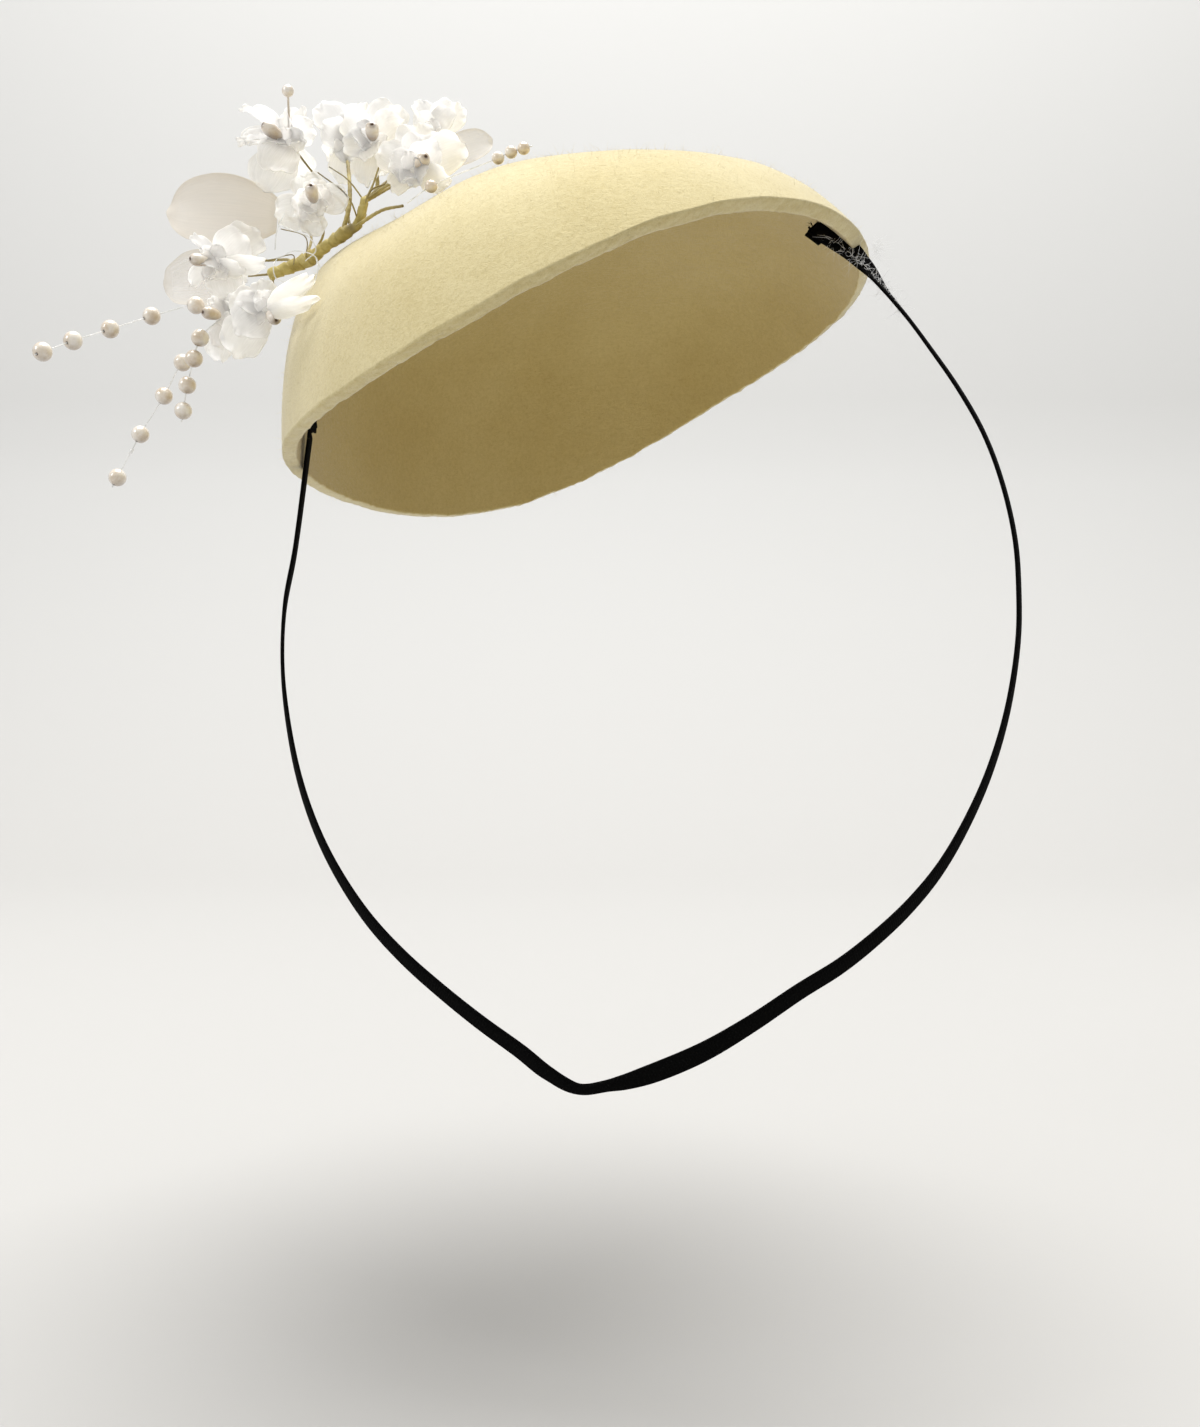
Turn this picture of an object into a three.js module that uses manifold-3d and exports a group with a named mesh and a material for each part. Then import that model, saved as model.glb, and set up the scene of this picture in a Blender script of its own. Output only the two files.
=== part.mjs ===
// Fascinator: a tilted cap of blocked ivory felt, a spray of white fabric blossoms with pearl
// stamens and pearl strands on its high side, and a flat black elastic that loops under the chin.
// Millimetres, +Z up, +X to the right and +Y away for someone who faces its near side.
// The origin is the point under the crown where the top of the wearer's head meets the felt.
import * as THREE from "three";
import Module from "manifold-3d";
import { mergeVertices } from "three/addons/utils/BufferGeometryUtils.js";

const wasm = await Module();
wasm.setup();

const degrees = THREE.MathUtils.degToRad;
const vec = (x, y, z) => new THREE.Vector3(x, y, z);

// Cap: the rim is a nearly round ring that dips to the left, the crown rises from it
const CAP_LENGTH = 142;
const CAP_WIDTH = 155;
const CAP_SHIFT_LEFT = 15.4;
const CAP_SHIFT_FAR = 4.7;
const CAP_DROP = 39.5;
const CAP_CENTRE = vec(-CAP_SHIFT_LEFT, CAP_SHIFT_FAR, -CAP_DROP);
const CAP_DIP_LEFT = 21.8;
const CAP_DIP_FAR = 5.2;
const CAP_TURN = -2.4;
const CROWN_HEIGHT = 27.6;
const CROWN_RAKE_LEFT = 11.0;
const CROWN_RAKE_NEAR = 3.3;
const CROWN_DOME = 7.0;
const CROWN_PEAK = 9.8;
const SHOULDER_SHARPNESS = 8.7;
const SHOULDER_SHARPER_RIGHT = 2.7;
const RIM_SADDLE = 1.7;
const RIM_TREFOIL = -2.45;
const FELT_THICKNESS = 3.2;

// Soft dents of the hand-blocked crown: turn round the rim, share of the way out, share of the
// crown's height that the felt rises or sinks there
const DENTS = [
  { turn: 205, out: 0.80, rise: 0.120 },
  { turn: 235, out: 0.72, rise: -0.093 },
  { turn: 265, out: 0.74, rise: 0.030 },
  { turn: 292, out: 0.74, rise: -0.044 },
  { turn: 320, out: 0.78, rise: -0.066 },
  { turn: 345, out: 0.80, rise: 0.064 },
];
const DENT_SPREAD_ROUND = 24;
const DENT_SPREAD_OUT = 0.24;

// Elastic, with a folded end stitched inside each end of the rim
const ELASTIC_WIDTH = 4.0;
const ELASTIC_THICKNESS = 0.9;
const TAB_WIDTH = 5.2;
const TAB_THICKNESS = 1.8;
const TAB_CLEARANCE = 1.3;
const TABS = [
  { name: "elastic_tab_right", turn: 343, inner: 0.78, outer: 0.925 },
  { name: "elastic_tab_left", turn: 182, inner: 0.875, outer: 0.955 },
];
// Wearer's head, as half sizes about its widest level: the elastic lies flat on it
const HEAD_LEVEL = -91;
const HEAD_HALF = vec(84, 86, 133);

// Clearance between pieces that touch on the real thing
const SEAT_GAP = 0.3;

// Blossoms and wires of the spray
const SPRAY_REACH = 40;
const SPRAY_SEAT_OUT = 0.70;
const SPRAY_SEAT_TURN = 213;
const PETAL_WALL = 1.0;
const HUB_RADIUS = 1.7;
const STEM_RADIUS = 1.6;
const WIRE_RADIUS = 0.5;
const STAMEN_RADIUS = 1.45;
const STAMEN_LENGTH = 5.2;
const STALK_RADIUS = 0.4;
const STALK_LENGTH = 6.4;

// Pearl strands
const PEARL_DIAMETER = 4.0;
const SMALL_PEARL_DIAMETER = 2.6;
const THREAD_DIAMETER = 0.5;
const PEARL_BORE = THREAD_DIAMETER + 3 * SEAT_GAP;

// Facets
const CAP_RINGS = 10;
const CAP_SIDES = 48;
const ELASTIC_STEPS = 54;
const BEAD_SIDES = 10;
const BEAD_ROWS = 4;
const PETAL_COLUMNS = 3;

const felt = new THREE.MeshStandardMaterial({ color: 0xe6dbb0, roughness: 0.95 });
const blackElastic = new THREE.MeshStandardMaterial({ color: 0x101012, roughness: 0.8 });
const satin = new THREE.MeshStandardMaterial({ color: 0xf7f5f1, roughness: 0.45 });
const organza = new THREE.MeshStandardMaterial({ color: 0xeee8dc, roughness: 0.5 });
const stemTape = new THREE.MeshStandardMaterial({ color: 0xb9a24e, roughness: 0.7 });
const pearl = new THREE.MeshStandardMaterial({ color: 0xe9dccd, roughness: 0.22 });
const thread = new THREE.MeshStandardMaterial({ color: 0xe8e8e4, roughness: 0.2 });

const fascinator = new THREE.Group();

function addPiece(name, geometry, material) {
  const mesh = new THREE.Mesh(geometry, material);
  mesh.name = name;
  fascinator.add(mesh);
}

// Geometry from shared points and triangles, turned right side out if it came out reversed
function solidGeometry(points, triangles) {
  let volume = 0;
  const [a, b, c] = [vec(), vec(), vec()];
  for (let i = 0; i < triangles.length; i += 3) {
    [a, b, c].forEach((corner, k) => corner.copy(points[triangles[i + k]]));
    volume += a.dot(b.cross(c));
  }
  if (volume < 0) triangles.reverse();
  const geometry = new THREE.BufferGeometry().setFromPoints(points);
  geometry.setIndex(triangles);
  return geometry;
}

// The same closed surface with only its positions, each shared by its neighbours
function welded(geometry) {
  const bare = geometry.clone();
  bare.deleteAttribute("normal");
  bare.deleteAttribute("uv");
  return mergeVertices(bare, 1e-4);
}

// One body from several that run into each other
function joined(geometries) {
  const bodies = geometries.map((geometry) => {
    const shape = welded(geometry);
    return new wasm.Manifold(new wasm.Mesh({
      numProp: 3,
      vertProperties: new Float32Array(shape.attributes.position.array),
      triVerts: new Uint32Array(shape.index.array),
    }));
  });
  const mesh = bodies.reduce((sum, body) => sum.add(body)).getMesh();
  const geometry = new THREE.BufferGeometry();
  geometry.setAttribute("position", new THREE.BufferAttribute(mesh.vertProperties, 3));
  geometry.setIndex([...mesh.triVerts]);
  return geometry;
}

// Round tube along a curve, its radius a function of the share of the way along, ends closed
function taperedTube(curve, radiusAt, sides, steps) {
  const frames = curve.computeFrenetFrames(steps, false);
  const points = [curve.getPointAt(0)];
  const triangles = [];
  for (let i = 0; i <= steps; i++) {
    for (let j = 0; j < sides; j++) {
      const angle = (2 * Math.PI * j) / sides;
      const radius = radiusAt(i / steps);
      points.push(curve.getPointAt(i / steps)
        .addScaledVector(frames.normals[i], radius * Math.cos(angle))
        .addScaledVector(frames.binormals[i], radius * Math.sin(angle)));
    }
  }
  points.push(curve.getPointAt(1));
  const last = points.length - 1;
  for (let j = 0; j < sides; j++) {
    const next = (j + 1) % sides;
    triangles.push(0, 1 + next, 1 + j);
    triangles.push(last, last - sides + j, last - sides + next);
    for (let i = 0; i < steps; i++) {
      const [near, far] = [1 + i * sides, 1 + (i + 1) * sides];
      triangles.push(near + j, near + next, far + next, near + j, far + next, far + j);
    }
  }
  return solidGeometry(points, triangles);
}

const smoothCurve = (points) => new THREE.CatmullRomCurve3(points, false, "centripetal");

// Axes of the tilted rim plane
const CAP_UP = vec(-Math.sin(degrees(CAP_DIP_LEFT)), Math.sin(degrees(CAP_DIP_FAR)), 1).normalize();
const CAP_RIGHT = vec(Math.cos(degrees(CAP_TURN)), Math.sin(degrees(CAP_TURN)), 0)
  .projectOnPlane(CAP_UP).normalize();
const CAP_FAR = vec().crossVectors(CAP_UP, CAP_RIGHT);

// Outer face of the cap: out goes from 0 at the middle of the crown to 1 at the rim, and turn
// goes round from the right tip by way of the far side
function capPoint(out, turn) {
  const [c, s] = [Math.cos(turn), Math.sin(turn)];
  const sharpness = SHOULDER_SHARPNESS + SHOULDER_SHARPER_RIGHT * c;
  const dome = 1 - out ** 2;
  let height = (CROWN_HEIGHT - CROWN_RAKE_LEFT * c * out + CROWN_RAKE_NEAR * s * out) *
    (1 - out ** sharpness);
  height += CROWN_DOME * dome + CROWN_PEAK * dome ** 2;
  height += (RIM_SADDLE * Math.cos(2 * turn) + RIM_TREFOIL * Math.cos(3 * turn)) * out ** 4;
  for (const dent of DENTS) {
    const round = Math.atan2(Math.sin(turn - degrees(dent.turn)), Math.cos(turn - degrees(dent.turn)));
    const reach = (round / degrees(DENT_SPREAD_ROUND)) ** 2 + ((out - dent.out) / DENT_SPREAD_OUT) ** 2;
    height += CROWN_HEIGHT * dent.rise * Math.exp(-reach) * (1 - out ** 6);
  }
  return CAP_CENTRE.clone()
    .addScaledVector(CAP_RIGHT, (out * CAP_LENGTH * c) / 2)
    .addScaledVector(CAP_FAR, (out * CAP_WIDTH * s) / 2)
    .addScaledVector(CAP_UP, height);
}

// Outward direction of the cap's outer face
function capNormal(out, turn) {
  const step = 1e-3;
  const at = Math.min(Math.max(out, 2 * step), 1 - step);
  const along = capPoint(at + step, turn).sub(capPoint(at - step, turn));
  const round = capPoint(at, turn + step).sub(capPoint(at, turn - step));
  return along.cross(round).normalize();
}

// A point this far above the cap's outer face, or below it if the lift is negative
function overCap(out, turn, lift) {
  return capPoint(out, turn).addScaledVector(capNormal(out, turn), lift);
}

// Felt cap: outer and inner faces a felt thickness apart, closed round the cut edge
function capGeometry(rings, sides) {
  const points = [];
  const triangles = [];
  for (const lift of [0, -FELT_THICKNESS]) {
    points.push(capPoint(0, 0).addScaledVector(CAP_UP, lift));
    for (let i = 1; i <= rings; i++) {
      const out = 1 - (1 - i / rings) ** 1.5;
      for (let j = 0; j < sides; j++) points.push(overCap(out, (2 * Math.PI * j) / sides, lift));
    }
  }
  const inner = 1 + rings * sides;
  const quad = (a, b, c, d) => triangles.push(a, b, c, a, c, d);
  for (let j = 0; j < sides; j++) {
    const next = (j + 1) % sides;
    triangles.push(0, 1 + j, 1 + next, inner, inner + 1 + next, inner + 1 + j);
    for (let i = 0; i < rings - 1; i++) {
      const [near, far] = [1 + i * sides, 1 + (i + 1) * sides];
      quad(near + j, far + j, far + next, near + next);
      quad(inner + near + j, inner + near + next, inner + far + next, inner + far + j);
    }
    const rim = 1 + (rings - 1) * sides;
    quad(rim + next, rim + j, inner + rim + j, inner + rim + next);
  }
  return solidGeometry(points, triangles);
}

addPiece("felt_cap", capGeometry(CAP_RINGS, CAP_SIDES), felt);

// Curve that carries a flat band: its normals run across the band, its binormals away from the head
class BandCurve extends THREE.CatmullRomCurve3 {
  computeFrenetFrames(steps) {
    const frames = { tangents: [], normals: [], binormals: [] };
    for (let i = 0; i <= steps; i++) {
      const tangent = this.getTangentAt(i / steps);
      const point = this.getPointAt(i / steps);
      const away = vec(point.x, point.y, point.z - HEAD_LEVEL).divide(HEAD_HALF).divide(HEAD_HALF)
        .projectOnPlane(tangent).normalize();
      frames.tangents.push(tangent);
      frames.normals.push(vec().crossVectors(away, tangent));
      frames.binormals.push(away);
    }
    return frames;
  }
}

// Flat section with its corners cut back, eight sides
function bandSection(width, thickness) {
  const [x, y, cut] = [width / 2, thickness / 2, thickness / 3];
  return new THREE.Shape([[-x, -y + cut], [-x + cut, -y], [x - cut, -y], [x, -y + cut],
    [x, y - cut], [x - cut, y], [-x + cut, y], [-x, y - cut]]
    .map(([across, out]) => new THREE.Vector2(across, out)));
}

function bandGeometry(points, width, thickness, steps) {
  const path = new BandCurve(points, false, "centripetal");
  return welded(new THREE.ExtrudeGeometry(bandSection(width, thickness),
    { steps, bevelEnabled: false, extrudePath: path }));
}

// Route of the elastic from under the right end of the cap, down the side, under the chin and up
const ELASTIC_ROUTE = [
  [46.6, -23, -21.5], [50.5, -26, -27.5], [54.6, -28, -33.5], [58.2, -30, -39.5],
  [64.0, -32, -49.0], [69.0, -33, -58.5], [72.6, -34, -69.0], [75.0, -35, -81.0],
  [75.6, -35.5, -91.5], [75.3, -36, -102.0], [72.6, -38, -116.0], [67.8, -42, -128.5],
  [62.0, -46, -139.0], [55.8, -50, -147.5], [49.2, -54, -154.0], [42.0, -58, -159.5],
  [34.5, -61, -164.5], [26.4, -63, -169.0], [17.0, -64, -175.0], [7.7, -63.5, -180.5],
  [-3.5, -61, -185.7], [-9.5, -59.5, -187.6], [-15.2, -58, -188.6], [-20.9, -58.5, -185.5],
  [-26.2, -58.5, -181.3], [-33.9, -57.5, -176.0], [-41.9, -55, -170.3], [-49.4, -52, -164.5],
  [-56.4, -48.5, -158.0], [-62.8, -44, -150.4], [-68.0, -40, -142.3], [-72.7, -35, -132.5],
  [-76.3, -30, -121.5], [-79.2, -24, -108.0], [-80.4, -17, -94.0], [-79.8, -9, -80.0],
].map((point) => vec(...point));

// Folded ends of the elastic lie on the felt's inner face and run towards the rim
const tabLift = -(FELT_THICKNESS + 2 * SEAT_GAP + TAB_THICKNESS / 2);
const tabEnds = [];
for (const tab of TABS) {
  const turn = degrees(tab.turn);
  const along = [0, 0.5, 1].map((share) =>
    overCap(THREE.MathUtils.lerp(tab.inner, tab.outer, share), turn, tabLift));
  addPiece(tab.name, bandGeometry(along, TAB_WIDTH, TAB_THICKNESS, 4), blackElastic);
  tabEnds.push(along[2]);
}

// The loop's own ends stop just clear of the tabs
const elasticEnd = (tabEnd, next) => tabEnd.clone()
  .addScaledVector(next.clone().sub(tabEnd).normalize(), TAB_CLEARANCE);
addPiece("chin_elastic", bandGeometry([elasticEnd(tabEnds[0], ELASTIC_ROUTE[0]),
  ...ELASTIC_ROUTE, elasticEnd(tabEnds[1], ELASTIC_ROUTE.at(-1))],
  ELASTIC_WIDTH, ELASTIC_THICKNESS, ELASTIC_STEPS), blackElastic);

// Spray: places are shares of its reach to the right, towards the near side and up from its seat
const spraySeat = capPoint(SPRAY_SEAT_OUT, degrees(SPRAY_SEAT_TURN));
const sprayPoint = ([across, near, up]) =>
  spraySeat.clone().add(vec(across, -near, up).multiplyScalar(SPRAY_REACH));

// Petals: turn is the way it points, seen from the near side, 0 right and 90 up, lift leans it
// towards the near side, roll twists it, and long and wide are shares of the reach
const BLOSSOMS = [
  {
    name: "blossom_upper_left", at: [-0.27, -0.11, 0.65], petals: [
      { turn: 137, lift: -12, roll: 35, long: 0.37, wide: 0.13 },
      { turn: 176, lift: 4, roll: 25, long: 0.27, wide: 0.14 },
      { turn: 246, lift: 10, roll: 0, long: 0.23, wide: 0.24 },
      { turn: 84, lift: -20, roll: -20, long: 0.23, wide: 0.17 },
      { turn: 26, lift: 26, roll: 10, long: 0.16, wide: 0.16 },
    ],
  },
  {
    name: "blossom_top", at: [0.01, -0.28, 0.71], petals: [
      { turn: 122, lift: 12, roll: 10, long: 0.24, wide: 0.20 },
      { turn: 72, lift: 0, roll: -20, long: 0.24, wide: 0.20 },
      { turn: 205, lift: -30, roll: 0, long: 0.14, wide: 0.15 },
      { turn: 268, lift: 24, roll: 0, long: 0.16, wide: 0.15 },
    ],
  },
  {
    name: "blossom_crest", at: [0.20, -0.02, 0.60], petals: [
      { turn: 60, lift: 0, roll: 0, long: 0.25, wide: 0.23 },
      { turn: 135, lift: 20, roll: 0, long: 0.18, wide: 0.18 },
      { turn: 262, lift: 20, roll: 0, long: 0.23, wide: 0.17 },
      { turn: 195, lift: 30, roll: 0, long: 0.15, wide: 0.15 },
    ],
  },
  {
    name: "blossom_right", at: [0.46, 0.24, 0.36], petals: [
      { turn: 152, lift: 10, roll: 0, long: 0.19, wide: 0.18 },
      { turn: 82, lift: -4, roll: 0, long: 0.24, wide: 0.24 },
      { turn: 20, lift: 14, roll: 0, long: 0.28, wide: 0.23 },
      { turn: 330, lift: 30, roll: 25, long: 0.23, wide: 0.15 },
      { turn: 232, lift: 28, roll: 0, long: 0.16, wide: 0.14 },
    ],
  },
  {
    name: "blossom_high_right", at: [0.50, -0.22, 0.71], petals: [
      { turn: 52, lift: 4, roll: 0, long: 0.23, wide: 0.20 },
      { turn: 108, lift: 12, roll: 30, long: 0.20, wide: 0.15 },
      { turn: 338, lift: -5, roll: 0, long: 0.16, wide: 0.16 },
    ],
  },
  {
    name: "blossom_inner", at: [-0.08, 0.14, 0.20], petals: [
      { turn: 196, lift: 8, roll: 0, long: 0.19, wide: 0.21 },
      { turn: 18, lift: 14, roll: 0, long: 0.12, wide: 0.15 },
      { turn: 108, lift: -6, roll: 0, long: 0.19, wide: 0.18 },
      { turn: 268, lift: 12, roll: 0, long: 0.12, wide: 0.14 },
    ],
  },
  {
    name: "blossom_left", at: [-0.69, -0.22, 0.03], petals: [
      { turn: 137, lift: 10, roll: 40, long: 0.18, wide: 0.10 },
      { turn: 38, lift: -4, roll: 0, long: 0.26, wide: 0.24 },
      { turn: 354, lift: 18, roll: 50, long: 0.27, wide: 0.13 },
      { turn: 214, lift: -4, roll: 20, long: 0.19, wide: 0.12 },
      { turn: 286, lift: 0, roll: 0, long: 0.18, wide: 0.21 },
    ],
  },
  {
    name: "blossom_low_left", at: [-0.70, -0.44, -0.21], petals: [
      { turn: 252, lift: -12, roll: 0, long: 0.24, wide: 0.18 },
      { turn: 124, lift: 10, roll: 0, long: 0.12, wide: 0.13 },
      { turn: 80, lift: 14, roll: 0, long: 0.14, wide: 0.15 },
    ],
  },
  {
    name: "blossom_low_right", at: [-0.37, 0.02, -0.31], petals: [
      { turn: 232, lift: 2, roll: 0, long: 0.28, wide: 0.26 },
      { turn: 158, lift: 2, roll: 10, long: 0.19, wide: 0.16 },
      { turn: 36, lift: 36, roll: 35, long: 0.34, wide: 0.12 },
      { turn: 8, lift: 41, roll: 50, long: 0.34, wide: 0.09 },
      { turn: 92, lift: 14, roll: 0, long: 0.14, wide: 0.15 },
    ],
  },
];

// Large sheer petals, each from its root to its tip
const SHEER_PETALS = [
  { name: "sheer_petal_upper", at: [-0.33, -0.33, 0.32], turn: 176, lift: -4, long: 0.64, wide: 0.38 },
  { name: "sheer_petal_left", at: [-0.62, -0.60, 0.07], turn: 184, lift: -6, long: 0.52, wide: 0.33 },
  { name: "sheer_petal_right", at: [0.58, 0.08, 0.48], turn: 22, lift: 0, long: 0.30, wide: 0.18 },
];

// Shape of every petal: shares of its length and of its half width from root to tip, the share of
// its length that it arches, and the share of its half width that its sides curl up
const PETAL_OUTLINE = [
  { along: 0, half: 0.26 }, { along: 0.32, half: 0.82 }, { along: 0.66, half: 1.0 },
  { along: 0.9, half: 0.84 }, { along: 1.0, half: 0.36 },
];
const PETAL_ARCH = 0.10;
const PETAL_CURL = 0.25;

// Unit direction of a petal and the side that faces the near side, twisted by its roll
function petalAxes({ turn, lift, roll = 0 }) {
  const along = vec(Math.cos(degrees(turn)) * Math.cos(degrees(lift)), -Math.sin(degrees(lift)),
    Math.sin(degrees(turn)) * Math.cos(degrees(lift)));
  const face = vec(0, -1, 0).projectOnPlane(along).normalize().applyAxisAngle(along, degrees(roll));
  return { along, face, side: vec().crossVectors(along, face) };
}

// Petal: a thin leaf, arched along its length and hollow across it
function petalGeometry(root, petal) {
  const { along, face, side } = petalAxes(petal);
  const length = petal.long * SPRAY_REACH;
  const half = (petal.wide * SPRAY_REACH) / 2;
  const columns = PETAL_COLUMNS;
  const rows = PETAL_OUTLINE.length - 1;
  const points = [];
  for (const wall of [PETAL_WALL / 2, -PETAL_WALL / 2]) {
    for (let i = 0; i <= rows; i++) {
      for (let j = 0; j <= columns; j++) {
        const [u, v] = [PETAL_OUTLINE[i].along, (2 * j) / columns - 1];
        const rise = PETAL_ARCH * length * Math.sin(Math.PI * u) + PETAL_CURL * half * v * v * u;
        points.push(root.clone().addScaledVector(along, length * u)
          .addScaledVector(side, half * PETAL_OUTLINE[i].half * v)
          .addScaledVector(face, rise + wall));
      }
    }
  }
  const index = (i, j) => i * (columns + 1) + j;
  const back = (rows + 1) * (columns + 1);
  const triangles = [];
  for (let i = 0; i < rows; i++) {
    for (let j = 0; j < columns; j++) {
      const [a, b, c, d] = [index(i, j), index(i, j + 1), index(i + 1, j + 1), index(i + 1, j)];
      triangles.push(a, b, c, a, c, d, back + a, back + c, back + b, back + a, back + d, back + c);
    }
  }
  const border = [];
  for (let j = 0; j < columns; j++) border.push(index(0, j));
  for (let i = 0; i < rows; i++) border.push(index(i, columns));
  for (let j = columns; j > 0; j--) border.push(index(rows, j));
  for (let i = rows; i > 0; i--) border.push(index(i, 0));
  border.forEach((a, k) => {
    const b = border[(k + 1) % border.length];
    triangles.push(b, a, back + a, b, back + a, back + b);
  });
  return solidGeometry(points, triangles);
}

function ball(centre, radius) {
  return new THREE.SphereGeometry(radius, 7, 4).translate(...centre);
}

for (const blossom of BLOSSOMS) {
  const hub = sprayPoint(blossom.at);
  const petals = blossom.petals.map((petal) =>
    petalGeometry(hub.clone().addScaledVector(petalAxes(petal).along, HUB_RADIUS / 2), petal));
  addPiece(blossom.name, joined([ball(hub, HUB_RADIUS), ...petals]), satin);
}
for (const petal of SHEER_PETALS) {
  addPiece(petal.name, petalGeometry(sprayPoint(petal.at), petal), organza);
}

// Stamens: long pearls that stand out of a blossom's hub, by blossom and by the way they point
const STAMENS = [
  { name: "stamen_upper_left", on: "blossom_upper_left", turn: 148, lift: 46 },
  { name: "stamen_crest", on: "blossom_crest", turn: 100, lift: 66 },
  { name: "stamen_right", on: "blossom_right", turn: 50, lift: 72 },
  { name: "stamen_inner", on: "blossom_inner", turn: 100, lift: 62 },
  { name: "stamen_left", on: "blossom_left", turn: 186, lift: 46 },
  { name: "stamen_low_left", on: "blossom_low_left", turn: 176, lift: 58 },
  { name: "stamen_low_right", on: "blossom_low_right", turn: 302, lift: 56 },
];

// Long pearl: a drop that is fuller towards its free end
const stamenProfile = [[0, 0], [0.62, 0.14], [0.92, 0.42], [1, 0.66], [0.72, 0.9], [0, 1]]
  .map(([radius, up]) => new THREE.Vector2(radius * STAMEN_RADIUS, up * STAMEN_LENGTH));

// Stamen at its place: its foot stands just clear of the blossom's hub
function addStamen({ name, on, turn, lift }, profile) {
  const { along } = petalAxes({ turn, lift });
  const hub = sprayPoint(BLOSSOMS.find((blossom) => blossom.name === on).at);
  const drop = new THREE.LatheGeometry(profile, BEAD_SIDES);
  drop.applyQuaternion(new THREE.Quaternion().setFromUnitVectors(vec(0, 1, 0), along));
  addPiece(name, welded(drop.translate(...hub.addScaledVector(along, HUB_RADIUS + SEAT_GAP))), pearl);
}

STAMENS.forEach((stamen) => addStamen(stamen, stamenProfile));

// One taller stamen: a small round pearl on a thin stalk
const stalkProfile = [[0, 0], [STALK_RADIUS, 0], [STALK_RADIUS, STALK_LENGTH],
  ...[-55, -20, 20, 55].map((angle) => [Math.cos(degrees(angle)) * SMALL_PEARL_DIAMETER / 2,
    STALK_LENGTH + (1 + Math.sin(degrees(angle))) * SMALL_PEARL_DIAMETER / 2]),
  [0, STALK_LENGTH + SMALL_PEARL_DIAMETER]].map(([radius, up]) => new THREE.Vector2(radius, up));
addStamen({ name: "stamen_tall", on: "blossom_upper_left", turn: 93, lift: 24 }, stalkProfile);

// Main stem, wrapped in tape: it lies along the crown's shoulder and rises at its right end.
// Lift is counted in the height at which it just rests on the felt.
const STEM_PATH = [
  { out: 0.80, turn: 205, lift: 3.4 },
  { out: 0.74, turn: 208, lift: 1.3 },
  { out: 0.70, turn: 213, lift: 1 },
  { out: 0.67, turn: 218, lift: 1 },
  { out: 0.64, turn: 221, lift: 1.1 },
  { out: 0.62, turn: 222, lift: 4.4 },
];
const STEM_KNOTS = [0.32, 0.66];
const KNOT_SWELL = 0.35;
const KNOT_SPREAD = 0.07;
const STEM_TAPER = 0.35;
const stemSeat = SEAT_GAP + STEM_RADIUS * (1 + KNOT_SWELL);
const stemCurve = smoothCurve(STEM_PATH.map(({ out, turn, lift }) =>
  overCap(out, degrees(turn), lift * stemSeat)));

function stemRadius(share) {
  const swell = STEM_KNOTS.reduce((sum, knot) =>
    sum + Math.exp(-(((share - knot) / KNOT_SPREAD) ** 2)), 0);
  return STEM_RADIUS * (1 - STEM_TAPER * share ** 2 + KNOT_SWELL * swell);
}

// Wires that leave the main stem at a share of its length and end at a blossom or sheer petal, and
// one whose free end carries a strand of pearls
const WIRE_END = [0.42, 0.37, 0.13];
const WIRES = [
  { from: 0.70, by: [[0.05, -0.38, 0.45]], to: "blossom_top", thick: 1.8 },
  { from: 0.74, by: [[0.03, -0.09, 0.30], [-0.12, -0.20, 0.47]], to: "blossom_upper_left", thick: 1 },
  { from: 0.97, by: [[0.19, -0.21, 0.42]], to: "blossom_crest", thick: 1.3 },
  { from: 0.95, by: [[0.30, 0.09, 0.34]], to: "blossom_right", thick: 1.1 },
  { from: 0.97, by: [[0.33, -0.16, 0.47]], to: "blossom_high_right", thick: 1 },
  { from: 0.72, by: [[0.29, 0.22, 0.15], WIRE_END], to: null, thick: 1.2 },
  { from: 0.34, by: [[-0.06, 0.02, 0.11]], to: "blossom_inner", thick: 1 },
  { from: 0.16, by: [[-0.28, -0.16, 0.02], [-0.47, -0.32, 0.07]], to: "blossom_left", thick: 1 },
  { from: 0.04, by: [[-0.49, -0.48, -0.14]], to: "blossom_low_left", thick: 1 },
  { from: 0.02, by: [[-0.34, -0.08, -0.22]], to: "blossom_low_right", thick: 1 },
  { from: 0.28, by: [[-0.20, -0.30, 0.22]], to: "sheer_petal_upper", thick: 1 },
  { from: 0.12, by: [[-0.41, -0.42, 0.03]], to: "sheer_petal_left", thick: 1 },
  { from: 0.96, by: [[0.38, 0.00, 0.41]], to: "sheer_petal_right", thick: 1 },
];

function wireGeometry(wire) {
  const points = [stemCurve.getPointAt(wire.from), ...wire.by.map(sprayPoint)];
  const target = [...BLOSSOMS, ...SHEER_PETALS].find((piece) => piece.name === wire.to);
  if (target) {
    const reach = (BLOSSOMS.includes(target) ? HUB_RADIUS : PETAL_WALL / 2) + SEAT_GAP;
    const end = sprayPoint(target.at);
    const back = points[points.length - 1].clone().sub(end).normalize();
    points.push(end.addScaledVector(back, reach));
  }
  return taperedTube(smoothCurve(points), () => wire.thick * WIRE_RADIUS, 4, 4);
}

addPiece("spray_stem", joined([taperedTube(stemCurve, stemRadius, 6, 15),
  ...WIRES.map(wireGeometry)]), stemTape);

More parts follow.
